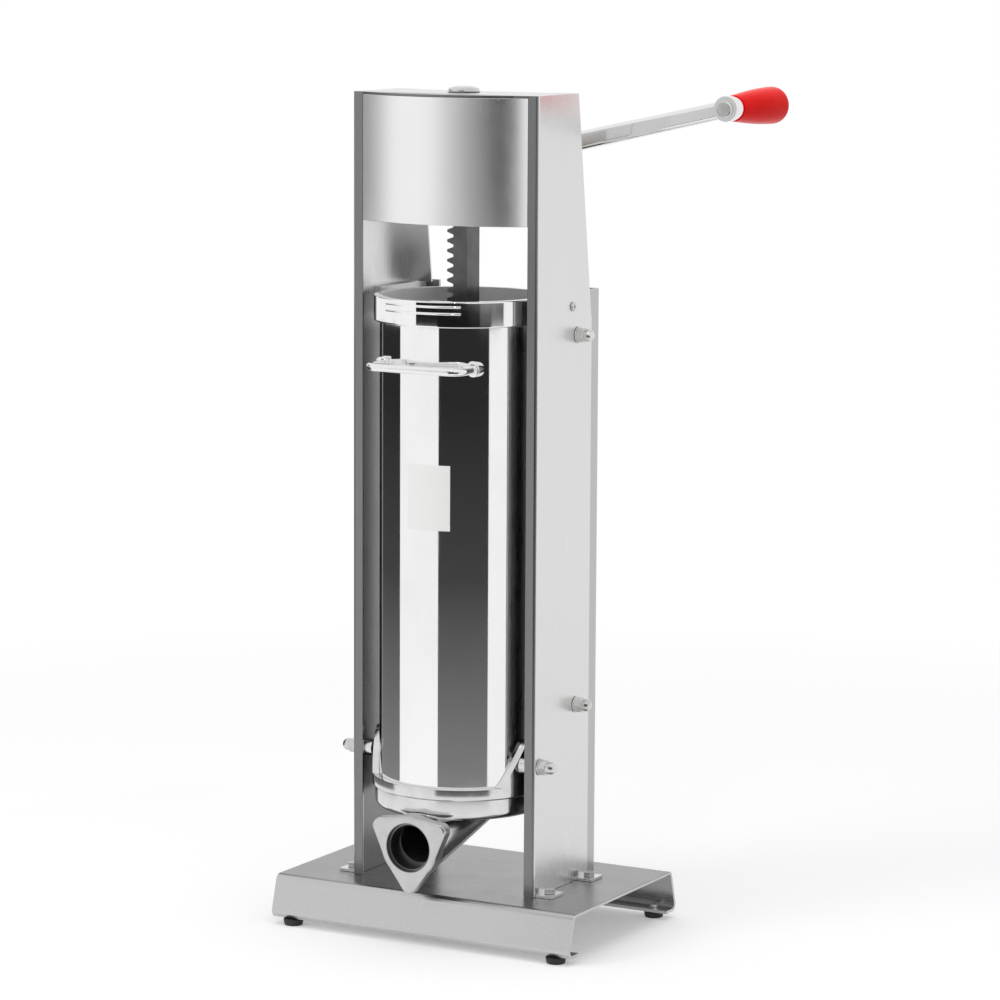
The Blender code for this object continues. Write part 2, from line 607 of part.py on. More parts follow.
def make_post(label, side):
    bottom = BASE_TOP + GAP
    middle = side * (POST_FACE - SHEET / 2)
    corners = [
        (side * (POST_FACE - POST_FLANGE), POST_FRONT + SHEET / 2),
        (middle, POST_FRONT + SHEET / 2), (middle, POST_BACK),
    ]
    outline = sheet_outline(rounded_path(corners, POST_BEND - SHEET / 2), SHEET)
    post = prism(f"post_{label}", outline, "XY", bottom, POST_TOP, "brushed_steel")

    # The web's back edge slants forward near the top, and a flange is turned in along the slant
    flange_low = RAIL_TOP
    wedge = [
        (POST_BACK - SHEET / 2, POST_SLANT_START), (POST_BACK + CUT_MARGIN, POST_SLANT_START),
        (POST_BACK + CUT_MARGIN, POST_TOP + CUT_MARGIN),
        (post_back_at(POST_TOP + CUT_MARGIN) - SHEET / 2, POST_TOP + CUT_MARGIN),
    ]
    near = side * (POST_FACE - POST_FLANGE)
    far = side * (POST_FACE + CUT_MARGIN)
    cut(post, prism(f"slant_{label}", wedge, "YZ", min(near, far), max(near, far)))
    strip = [
        (post_back_at(flange_low) - SHEET, flange_low), (post_back_at(flange_low), flange_low),
        (post_back_at(POST_TOP), POST_TOP), (post_back_at(POST_TOP) - SHEET, POST_TOP),
    ]
    near = side * (POST_FACE - POST_BACK_FLANGE)
    far = side * (POST_FACE - SHEET / 4)
    weld_on(post, prism(f"back_flange_{label}", strip, "YZ", min(near, far), max(near, far)))

    # Foot tabs bent out over the base
    for number, y in enumerate(TAB_PLACES):
        near = side * (POST_FACE - SHEET / 2)
        far = side * (POST_FACE + TAB_LENGTH)
        tab = block(f"tab_{label}_{number}", (min(near, far), y - TAB_WIDTH / 2, bottom),
                    (max(near, far), y + TAB_WIDTH / 2, bottom + TAB_THICKNESS))
        weld_on(post, tab)
        x = side * (POST_FACE + TAB_LENGTH / 2)
        cut(post, peg(f"tab_bolt_hole_{label}_{number}", TAB_BOLT_RADIUS + GAP,
                      (x, y, bottom - CUT_MARGIN), (x, y, bottom + TAB_THICKNESS + CUT_MARGIN),
                      FASTENER_ROUND))
        make_tab_bolt(f"post_bolt_{label}_{('front', 'rear')[number]}", x, y)

    for number, (y, z) in enumerate(RAIL_BOLT_PLACES):
        cut(post, cross_hole(f"post_rail_hole_{label}_{number}", side, y, z, RAIL_BOLT_RADIUS))
    cut(post, cross_hole(f"post_pivot_hole_{label}", side, *PIVOT_PLACE, PIVOT_PIN_RADIUS))
    cut(post, cross_hole(f"post_screw_hole_{label}", side, *RAIL_SCREW_PLACE, RAIL_SCREW_RADIUS))


def cross_hole(name, side, y, z, radius):
    """A cutter along X for a hole through a post, its rail and what stands behind them."""
    near = side * (POST_FACE + CUT_MARGIN)
    far = side * (RAIL_INSIDE - RAIL_LIP_WIDTH - CUT_MARGIN)
    return peg(name, radius + GAP, (near, y, z), (far, y, z), FASTENER_ROUND)


def make_tab_bolt(name, x, y):
    """A hexagon bolt down through a post's foot tab and the base, with its nut underneath."""
    head_low = BASE_TOP + GAP + TAB_THICKNESS + GAP
    nut_high = BASE_TOP - BASE_SHEET - GAP
    corner = TAB_BOLT_FLAT / 2 / cos(pi / 6)
    outline = [(x + corner * cos(k * pi / 3), y + corner * sin(k * pi / 3)) for k in range(6)]
    bolt = prism(name, outline, "XY", head_low, head_low + TAB_BOLT_HEAD, "bright_nut")
    nut = prism(f"{name}_nut", outline, "XY", nut_high - TAB_BOLT_HEAD, nut_high)
    weld_on(bolt, nut)
    shank = peg(f"{name}_shank", TAB_BOLT_RADIUS, (x, y, nut_high - TAB_BOLT_HEAD - TAB_BOLT_END),
                (x, y, head_low + TAB_BOLT_HEAD / 2), FASTENER_ROUND)
    weld_on(bolt, shank)


def make_rail(label, side):
    """The inner rail: a plate along the post's web, turned in behind the cylinder, with a top lip."""
    bottom = BASE_TOP + GAP
    middle = side * (RAIL_FACE - RAIL_THICKNESS / 2)
    back = RAIL_BACK - RAIL_THICKNESS / 2
    front = POST_FRONT + POST_BEND
    corners = [(middle, front), (middle, back), (middle - side * RAIL_FLANGE, back)]
    outline = sheet_outline(rounded_path(corners, POST_BEND), RAIL_THICKNESS)
    rail = prism(f"rail_{label}", outline, "XY", bottom, RAIL_TOP, "brushed_steel")
    near = side * (RAIL_INSIDE - RAIL_LIP_WIDTH)
    far = side * (RAIL_FACE - RAIL_THICKNESS / 2)
    lip = block(f"rail_lip_{label}", (min(near, far), RAIL_LIP_START, RAIL_TOP - RAIL_LIP_HEIGHT),
                (max(near, far), RAIL_LIP_END, RAIL_TOP - SHEET / 4))
    weld_on(rail, lip)
    for number, (y, z) in enumerate(RAIL_BOLT_PLACES):
        cut(rail, cross_hole(f"rail_hole_{label}_{number}", side, y, z, RAIL_BOLT_RADIUS))
        make_cap_bolt(f"rail_bolt_{label}_{('upper', 'lower')[number]}", side, y, z)
    cut(rail, cross_hole(f"rail_pivot_hole_{label}", side, *PIVOT_PLACE, PIVOT_PIN_RADIUS))
    cut(rail, cross_hole(f"rail_screw_hole_{label}", side, *RAIL_SCREW_PLACE, RAIL_SCREW_RADIUS))
    make_pivot_pin(label, side)
    make_rail_screw(label, side)


def cap_nut(name, side, y, z, stem_radius, stem_end, material):
    """A domed cap nut outside a post with the stem that it is screwed to, along X."""
    seat = POST_FACE + GAP
    top = CAP_NUT_STAND - CAP_NUT_HEX
    profile = [(0, stem_end), (stem_radius, stem_end), (stem_radius, seat + CAP_NUT_HEX / 2),
               (CAP_NUT_DOME, seat + CAP_NUT_HEX / 2), (CAP_NUT_DOME, seat + CAP_NUT_HEX)]
    for step in range(1, 4):
        angle = step * pi / 6
        profile.append((CAP_NUT_DOME * cos(angle), seat + CAP_NUT_HEX + top * sin(angle)))
    nut = turned(name, profile, (0, y, z), (side, 0, 0), FASTENER_ROUND, material)
    low = seat if side > 0 else -seat - CAP_NUT_HEX
    weld_on(nut, hexagon(CAP_NUT_FLAT, CAP_NUT_HEX, (low, y, z), f"{name}_hex"))
    return nut


def make_cap_bolt(name, side, y, z):
    head = RAIL_INSIDE - GAP - RAIL_BOLT_HEAD_THICKNESS
    if z > RAIL_TOP - RAIL_LIP_HEIGHT:
        head -= RAIL_LIP_WIDTH
    bolt = cap_nut(name, side, y, z, RAIL_BOLT_RADIUS, head, "bright_nut")
    weld_on(bolt, turned(f"{name}_head", tube_profile(0, RAIL_BOLT_HEAD, head,
                                                      head + RAIL_BOLT_HEAD_THICKNESS),
                         (0, y, z), (side, 0, 0), FASTENER_ROUND))


def make_pivot_pin(label, side):
    """The pin that the cylinder and its cup would tilt on, through post, rail and the cup's ear."""
    cap_nut(f"pivot_pin_{label}", side, *PIVOT_PLACE, PIVOT_PIN_RADIUS,
            CYLINDER_RADIUS + PIVOT_PIN_SHORT, "bright_nut")


def make_rail_screw(label, side):
    """The small screw near the top of the rail."""
    y, z = RAIL_SCREW_PLACE
    seat = POST_FACE + GAP
    inner = RAIL_INSIDE - GAP
    profile = [(0, inner), (RAIL_SCREW_RADIUS, inner), (RAIL_SCREW_RADIUS, seat),
               (RAIL_SCREW_CAP, seat), (RAIL_SCREW_CAP, seat + RAIL_SCREW_CAP_HEIGHT / 2),
               (RAIL_SCREW_RADIUS, seat + RAIL_SCREW_CAP_HEIGHT),
               (0, seat + RAIL_SCREW_CAP_HEIGHT)]
    turned(f"rail_screw_{label}", profile, (0, y, z), (side, 0, 0), FASTENER_ROUND, "bright_nut")


def front_arc(inset, steps=14):
    """Points along the head's bowed front, from left to right, this far inside its outer face."""
    radius = (HEAD_HALF_WIDTH ** 2 + HEAD_BULGE ** 2) / (2 * HEAD_BULGE)
    centre = (0, POST_FRONT - HEAD_BULGE + radius)
    half = acos((HEAD_HALF_WIDTH - inset) / (radius - inset))
    return arc(centre, radius - inset, -pi + half, -half, steps)


def make_head():
    bowed = front_arc(SHEET / 2)
    side = HEAD_HALF_WIDTH - SHEET / 2
    path = [(-side, POST_FRONT + HEAD_RETURN), *bowed, (side, POST_FRONT + HEAD_RETURN)]
    prism("head_front_cover", sheet_outline(path, SHEET), "XY", HEAD_BOTTOM,
          TOP_PLATE_BOTTOM - GAP, "brushed_steel")

    wide = POST_INSIDE - GAP
    behind_flange = POST_FRONT + POST_BEND
    outline = [(-wide, HEAD_BACK), (-wide, behind_flange), (-HEAD_HALF_WIDTH, behind_flange),
               *front_arc(0), (HEAD_HALF_WIDTH, behind_flange), (wide, behind_flange),
               (wide, HEAD_BACK)]
    top = prism("head_top_plate", outline, "XY", TOP_PLATE_BOTTOM, POST_TOP, "brushed_steel")
    cut(top, rack_hole("top_rack_hole", TOP_PLATE_BOTTOM, POST_TOP))

    inside = HEAD_HALF_WIDTH - SHEET - GAP
    returned = POST_FRONT + HEAD_RETURN + GAP
    outline = [(-wide, HEAD_BACK), (-wide, returned), (-inside, returned),
               *front_arc(SHEET + GAP), (inside, returned), (wide, returned), (wide, HEAD_BACK)]
    bottom = prism("head_bottom_plate", outline, "XY", HEAD_BOTTOM, HEAD_BOTTOM + SHEET,
                   "brushed_steel")
    cut(bottom, rack_hole("bottom_rack_hole", HEAD_BOTTOM, HEAD_BOTTOM + SHEET))

    low = HEAD_BOTTOM + SHEET + GAP
    high = TOP_PLATE_BOTTOM - GAP
    back = block("head_back_plate", (-wide, BACK_PLATE_FRONT, low), (wide, HEAD_BACK, high),
                 "brushed_steel")
    half = inside - GAP
    bearing = block("bearing_plate", (-half, BEARING_PLATE_FRONT, low),
                    (half, BEARING_PLATE_FRONT + BEARING_PLATE, high), "machined_steel")
    for name, x, radius in (("main", MAIN_SHAFT_X, SHAFT_RADIUS),
                            ("slow", SLOW_SHAFT_X, SLOW_SHAFT_RADIUS)):
        make_bushes(name, x, radius, back, bearing)


def rack_hole(name, low, high):
    half_width = RACK_WIDTH / 2 + RUNNING
    half_depth = RACK_DEPTH / 2 + RUNNING
    return block(name, (-half_width, -half_depth, low - CUT_MARGIN),
                 (half_width, half_depth, high + CUT_MARGIN))


def make_bushes(name, x, radius, back, bearing):
    """A bush at each end of a shaft with its flange inside the head; the rear one is a long sleeve."""
    inner = radius + BUSH_PLAY
    outer = radius + BUSH_WALL
    front_face = BEARING_PLATE_FRONT + BEARING_PLATE
    for label, plate, face, way, depth in (
        ("front", bearing, front_face, 1, BEARING_PLATE),
        ("rear", back, BACK_PLATE_FRONT, -1, BACK_PLATE + BUSH_SLEEVE),
    ):
        start = (x, face - way * (depth + CUT_MARGIN), SHAFT_HEIGHT)
        end = (x, face + way * CUT_MARGIN, SHAFT_HEIGHT)
        cut(plate, peg(f"{name}_{label}_bush_hole", outer + GAP, start, end))
        flange_end = GAP + BUSH_FLANGE_THICKNESS
        profile = [(inner, -depth), (outer, -depth), (outer, GAP), (outer + BUSH_FLANGE, GAP),
                   (outer + BUSH_FLANGE, flange_end), (inner, flange_end)]
        turned(f"{name}_bush_{label}", profile, (x, face, SHAFT_HEIGHT), (0, way, 0), SMALL_ROUND,
               "bronze")


def make_rack_guide():
    """The plastic block that backs the rack up against the pinion's push."""
    inner = RACK_WIDTH / 2 + RUNNING
    half = RACK_DEPTH / 2
    low = HEAD_BOTTOM + SHEET + GAP
    high = TOP_PLATE_BOTTOM - GUIDE_INSET
    block("rack_guide", (inner, -half, low), (inner + GUIDE_WIDTH, half, high), "white_plastic")


def make_gears(main_axis, slow_axis):
    main_front = Vector((MAIN_SHAFT_X, BEARING_PLATE_FRONT, SHAFT_HEIGHT))
    main_back = Vector((MAIN_SHAFT_X, SQUARE_START, SHAFT_HEIGHT))
    slow_front = Vector((SLOW_SHAFT_X, BEARING_PLATE_FRONT, SHAFT_HEIGHT))
    slow_back = Vector((SLOW_SHAFT_X, SQUARE_START, SHAFT_HEIGHT))
    inside = Vector((0, CUT_MARGIN, 0))

    # Each shaft ends in a square that the crank's hub fits
    shaft = peg("main_shaft", SHAFT_RADIUS, main_front, main_back, SMALL_ROUND, "machined_steel",
                main_axis)
    weld_on(shaft, square_bar("main_square", MAIN_SHAFT_X, SQUARE_START - CUT_MARGIN, SQUARE_END,
                              main_axis))
    tapped = Vector((MAIN_SHAFT_X, SQUARE_END, SHAFT_HEIGHT))
    cut(shaft, peg("crank_screw_thread", CRANK_SCREW_RADIUS + GAP,
                   tapped - Vector((0, CRANK_SCREW_DEPTH + GAP, 0)), tapped + inside,
                   FASTENER_ROUND, None, main_axis))

    half = Vector((0, RACK_DEPTH / 2, 0))
    middle = main_axis.location
    pinion = prism("rack_pinion",
                   gear_outline(RACK_MODULE, RACK_PINION_TEETH, (MAIN_SHAFT_X, SHAFT_HEIGHT), 0),
                   "XZ", -RACK_DEPTH / 2, RACK_DEPTH / 2, "machined_steel", main_axis)
    cut(pinion, peg("pinion_bore", SHAFT_RADIUS + GAP, middle - half - inside,
                    middle + half + inside, SMALL_ROUND, None, main_axis))

    gear_front = Vector((MAIN_SHAFT_X, BIG_GEAR_FRONT, SHAFT_HEIGHT))
    hub_end = Vector((MAIN_SHAFT_X, BACK_PLATE_FRONT - BUSH_FLANGE_THICKNESS - 2 * GAP,
                      SHAFT_HEIGHT))
    gear = prism("big_gear",
                 gear_outline(GEAR_MODULE, BIG_GEAR_TEETH, (MAIN_SHAFT_X, SHAFT_HEIGHT), 0, 1),
                 "XZ", BIG_GEAR_FRONT, BIG_GEAR_FRONT + BIG_GEAR_WIDTH, "machined_steel", main_axis)
    weld_on(gear, peg("big_gear_hub", BIG_GEAR_HUB, gear_front + inside, hub_end, SMALL_ROUND,
                      None, main_axis))
    cut(gear, peg("big_gear_bore", SHAFT_RADIUS + GAP, gear_front - inside, hub_end + inside,
                  SMALL_ROUND, None, main_axis))

    # The slow shaft is one piece with its small gear
    small = gear_outline(GEAR_MODULE, SMALL_GEAR_TEETH, (SLOW_SHAFT_X, SHAFT_HEIGHT),
                         pi / SMALL_GEAR_TEETH)
    slow = prism("slow_shaft", small, "XZ", BIG_GEAR_FRONT, BIG_GEAR_FRONT + BIG_GEAR_WIDTH,
                 "machined_steel", slow_axis)
    weld_on(slow, peg("slow_round", SLOW_SHAFT_RADIUS, slow_front, slow_back, SMALL_ROUND, None,
                      slow_axis))
    weld_on(slow, square_bar("slow_square", SLOW_SHAFT_X, SQUARE_START - CUT_MARGIN, SQUARE_END,
                             slow_axis))


def square_bar(name, x, start, end, carrier, grow=0.0):
    half = SQUARE_SIDE / 2 + grow
    return block(name, (x - half, start, SHAFT_HEIGHT - half), (x + half, end, SHAFT_HEIGHT + half),
                 None, carrier)


def make_rack(axis):
    rack = prism("rack", rack_outline(), "XZ", -RACK_DEPTH / 2, RACK_DEPTH / 2, "machined_steel",
                 axis)
    weld_on(rack, peg("rack_stud", RACK_STUD_RADIUS, (0, 0, PISTON_BOTTOM + RACK_STUD_SHORT),
                      (0, 0, RACK_BOTTOM + RACK_STUD_RADIUS), SMALL_ROUND, None, axis))

    low = RACK_TOP + GAP
    crown = low + CAP_EDGE
    profile = [(0, low), (CAP_RADIUS, low), (CAP_RADIUS, crown)]
    for step in range(1, 5):
        angle = step * pi / 8
        profile.append((CAP_RADIUS * cos(angle), crown + (CAP_HEIGHT - CAP_EDGE) * sin(angle)))
    turned("rack_cap", profile, (0, 0, 0), (0, 0, 1), SMALL_ROUND, "bright_nut", axis)


def make_piston(axis):
    outer = BORE_RADIUS - PISTON_PLAY
    bore = RACK_STUD_RADIUS + GAP
    groove = BORE_RADIUS - SEAL_DEPTH
    seal_low = PISTON_BOTTOM + (PISTON_THICKNESS - SEAL_HEIGHT) / 2
    seal_high = seal_low + SEAL_HEIGHT
    boss_top = PISTON_TOP + PISTON_BOSS_HEIGHT
    recess = PISTON_RECESS_RADIUS
    recess_top = PISTON_BOTTOM + PISTON_RECESS_DEPTH
    profile = [
        (recess, PISTON_BOTTOM), (outer - PISTON_DISH, PISTON_BOTTOM),
        (outer, PISTON_BOTTOM + PISTON_DISH), (outer, seal_low), (groove, seal_low),
        (groove, seal_high), (outer, seal_high), (outer, PISTON_TOP),
        (PISTON_BOSS_RADIUS + PISTON_DISH, PISTON_TOP), (PISTON_BOSS_RADIUS, boss_top),
        (bore, boss_top), (bore, recess_top), (recess, recess_top),
    ]
    turned("piston", profile, (0, 0, 0), (0, 0, 1), ROUND, "cast_aluminium", axis)

    seal_outer = BORE_RADIUS - SEAL_PLAY
    profile = [
        (groove + GAP, seal_low + GAP), (seal_outer - SEAL_CROWN, seal_low + GAP),
        (seal_outer, (seal_low + seal_high) / 2), (seal_outer - SEAL_CROWN, seal_high - GAP),
        (groove + GAP, seal_high - GAP),
    ]
    turned("piston_seal", profile, (0, 0, 0), (0, 0, 1), ROUND, "white_plastic", axis)

    corner = PISTON_NUT_FLAT / 2 / cos(pi / 6)
    outline = [(corner * cos(k * pi / 3), corner * sin(k * pi / 3)) for k in range(6)]
    nut = prism("piston_nut", outline, "XY", recess_top - GAP - PISTON_NUT_HEIGHT,
                recess_top - GAP, "bright_nut", axis)
    cut(nut, peg("piston_nut_bore", bore, (0, 0, PISTON_BOTTOM - CUT_MARGIN),
                 (0, 0, recess_top + CUT_MARGIN), SMALL_ROUND, None, axis))


def make_cylinder():
    profile = tube_profile(BORE_RADIUS, CYLINDER_RADIUS, CYLINDER_BOTTOM, CYLINDER_TOP)
    turned("cylinder", profile, (0, 0, 0), (0, 0, 1), ROUND, "polished_steel")

    inner = CYLINDER_RADIUS + GAP
    low = CYLINDER_TOP - COLLAR_HEIGHT
    profile = [
        (inner, low), (COLLAR_RADIUS - COLLAR_EDGE, low), (COLLAR_RADIUS, low + COLLAR_EDGE),
        (COLLAR_RADIUS, CYLINDER_TOP - COLLAR_EDGE), (COLLAR_RADIUS - COLLAR_EDGE, CYLINDER_TOP),
        (inner, CYLINDER_TOP),
    ]
    collar = turned("cylinder_collar", profile, (0, 0, 0), (0, 0, 1), ROUND, "polished_steel")
    for number in (-1, 1):
        level = CYLINDER_TOP - COLLAR_HEIGHT / 2 + number * RIB_PITCH / 2
        start = -pi / 2 - RIB_SPREAD
        end = -pi / 2 + RIB_SPREAD
        outline = arc((0, 0), COLLAR_RADIUS + RIB_STAND, start, end, 6)
        outline += arc((0, 0), COLLAR_RADIUS - CUT_MARGIN, end, start, 6)
        weld_on(collar, prism(f"collar_rib_{number}", outline, "XY", level - RIB_HEIGHT / 2,
                              level + RIB_HEIGHT / 2))


def make_handle():
    """A bent rod across the cylinder's front, with a small foot at each end."""
    x = HANDLE_HALF_WIDTH
    foot_y = -(CYLINDER_RADIUS ** 2 - x ** 2) ** 0.5
    inside_foot = foot_y - HANDLE_FOOT_DEPTH + CUT_MARGIN
    ends = [(-x, inside_foot), (-x, -HANDLE_REACH), (x, -HANDLE_REACH), (x, inside_foot)]
    path = rounded_path(ends, HANDLE_BEND, 3)
    edit = bmesh.new()
    rings = []
    for i, point in enumerate(path):
        before = path[max(i - 1, 0)]
        after = path[min(i + 1, len(path) - 1)]
        along = (after - before).normalized()
        side = Vector((-along.y, along.x, 0))
        ring = []
        for facet in range(HANDLE_FACETS):
            angle = 2 * pi * facet / HANDLE_FACETS
            offset = side * cos(angle) + Vector((0, 0, sin(angle)))
            centre = Vector((point.x, point.y, HANDLE_HEIGHT))
            ring.append(edit.verts.new(centre + offset * (HANDLE_ROD / 2)))
        rings.append(ring)
    for low, high in zip(rings, rings[1:]):
        for facet in range(HANDLE_FACETS):
            beside = (facet + 1) % HANDLE_FACETS
            edit.faces.new((low[facet], low[beside], high[beside], high[facet]))
    edit.faces.new(rings[0])
    edit.faces.new(rings[-1])
    handle = finish("cylinder_handle", edit, "polished_steel")
    for side in (-1, 1):
        start = (side * x, foot_y + CYLINDER_WALL, HANDLE_HEIGHT)
        end = (side * x, foot_y - HANDLE_FOOT_DEPTH, HANDLE_HEIGHT)
        weld_on(handle, peg(f"handle_foot_{side}", HANDLE_FOOT / 2, start, end))
    wrap = peg("handle_seat", CYLINDER_RADIUS + GAP, (0, 0, HANDLE_HEIGHT - HANDLE_FOOT),
               (0, 0, HANDLE_HEIGHT + HANDLE_FOOT), ROUND)
    cut(handle, wrap)


def make_cup():
    """The cast cup under the cylinder: two raised ears for the pivot pins, and the filling spout."""
    wall_inside = CYLINDER_RADIUS + GAP
    seat_inside = BORE_RADIUS - GASKET_WIDTH + CYLINDER_WALL
    step_top = CUP_RIM - CUP_STEP_HEIGHT
    corner = arc((CUP_RADIUS - CUP_CORNER, CUP_FLOOR + CUP_CORNER), CUP_CORNER, -pi / 2, 0, 3)
    profile = [(0, CUP_FLOOR), *corner, (CUP_RADIUS, step_top - CUP_STEP),
               (CUP_RADIUS + CUP_STEP, step_top), (CUP_RADIUS + CUP_STEP, EAR_TOP + CUT_MARGIN),
               (wall_inside, EAR_TOP + CUT_MARGIN), (wall_inside, CUP_SEAT),
               (seat_inside, CUP_SEAT), (seat_inside, CUP_SEAT - CUP_SEAT_DEPTH),
               (0, CUP_FLOOR + CUP_DISH)]
    cup = turned("bottom_cup", profile, (0, 0, 0), (0, 0, 1), ROUND, "cast_aluminium")
    cup["solver"] = "MANIFOLD"

    # Everything above the rim goes, apart from the two ears
    ear_y = PIVOT_PLACE[0] + EAR_LEAN
    reach = CUP_RADIUS + 4 * CUP_STEP
    rim_line = [
        (-reach, CUP_RIM), (ear_y - EAR_FOOT, CUP_RIM),
        *arc((ear_y, EAR_TOP - EAR_HALF_TOP), EAR_HALF_TOP, radians(147), radians(33), 5),
        (ear_y + EAR_FOOT, CUP_RIM), (reach, CUP_RIM), (reach, EAR_TOP + 4 * CUT_MARGIN),
        (-reach, EAR_TOP + 4 * CUT_MARGIN),
    ]
    cut(cup, prism("rim_line", rim_line, "YZ", -reach, reach))

    y, z = PIVOT_PLACE
    for side in (-1, 1):
        start = (side * (CUP_RADIUS - CUT_MARGIN), y, z)
        end = (side * (RAIL_INSIDE - GAP), y, z)
        weld_on(cup, peg(f"ear_boss_{side}", EAR_BOSS_RADIUS, start, end))
        start = (side * (CYLINDER_RADIUS - 2 * CUT_MARGIN), y, z)
        end = (side * (RAIL_FACE + CUT_MARGIN), y, z)
        cut(cup, peg(f"ear_hole_{side}", PIVOT_PIN_RADIUS + GAP, start, end, FASTENER_ROUND))

    neck = (0, SPOUT_NECK, SPOUT_HEIGHT)
    rings = [((0, 0, CUP_FLOOR + MM), (0, 0, 1), ELBOW_RADIUS), (neck, (0, -1, 0), SPOUT_SHOULDER)]
    weld_on(cup, hull_solid("elbow_body", rings, ELBOW_ROUND))
    weld_on(cup, peg("spout_tube", SPOUT_RADIUS, (0, SPOUT_NECK + CUT_MARGIN, SPOUT_HEIGHT),
                     (0, SPOUT_FACE, SPOUT_HEIGHT), ELBOW_ROUND))
    # The bore runs from the middle of the cup's floor to the spout's face
    rings = [((0, 0, CUP_FLOOR + CUP_DISH + 2 * CUT_MARGIN), (0, 0, 1), ELBOW_BORE),
             (neck, (0, -1, 0), SPOUT_BORE - SPOUT_BORE_STEP)]
    cut(cup, hull_solid("elbow_bore", rings, ELBOW_ROUND))
    cut(cup, peg("spout_bore", SPOUT_BORE, (0, SPOUT_NECK + 2 * CUT_MARGIN, SPOUT_HEIGHT),
                 (0, SPOUT_FACE - CUT_MARGIN, SPOUT_HEIGHT), ELBOW_ROUND))

    gasket = tube_profile(seat_inside + GAP, CYLINDER_RADIUS, CUP_SEAT + GAP,
                          CUP_SEAT + GAP + GASKET_THICKNESS)
    turned("cup_gasket", gasket, (0, 0, 0), (0, 0, 1), ROUND, "white_plastic")


def make_ring_nut(axis):
    """The three-lobed nut that clamps a filling tube on the spout."""
    circles = [(0, SPOUT_HEIGHT, NUT_WEB_RADIUS)]
    reach = NUT_LOBE_REACH - NUT_LOBE_RADIUS
    for lobe in range(3):
        angle = -pi / 2 + 2 * pi * lobe / 3
        circles.append((reach * cos(angle), SPOUT_HEIGHT + reach * sin(angle), NUT_LOBE_RADIUS))
    nut = prism("ring_nut", hull_outline(circles, ELBOW_ROUND), "XZ", NUT_FACE,
                NUT_FACE + NUT_LOBE_DEPTH, "cast_aluminium", axis)
    weld_on(nut, peg("nut_body", NUT_BODY_RADIUS, (0, NUT_FACE + MM, SPOUT_HEIGHT),
                     (0, NUT_BACK, SPOUT_HEIGHT), ELBOW_ROUND, None, axis))
    cut(nut, peg("nut_hole", NUT_HOLE, (0, NUT_FACE - CUT_MARGIN, SPOUT_HEIGHT),
                 (0, NUT_BACK, SPOUT_HEIGHT), ELBOW_ROUND, None, axis))
    cut(nut, peg("nut_thread", SPOUT_RADIUS + RUNNING, (0, SPOUT_FACE - RUNNING, SPOUT_HEIGHT),
                 (0, NUT_BACK + CUT_MARGIN, SPOUT_HEIGHT), ELBOW_ROUND, None, axis))


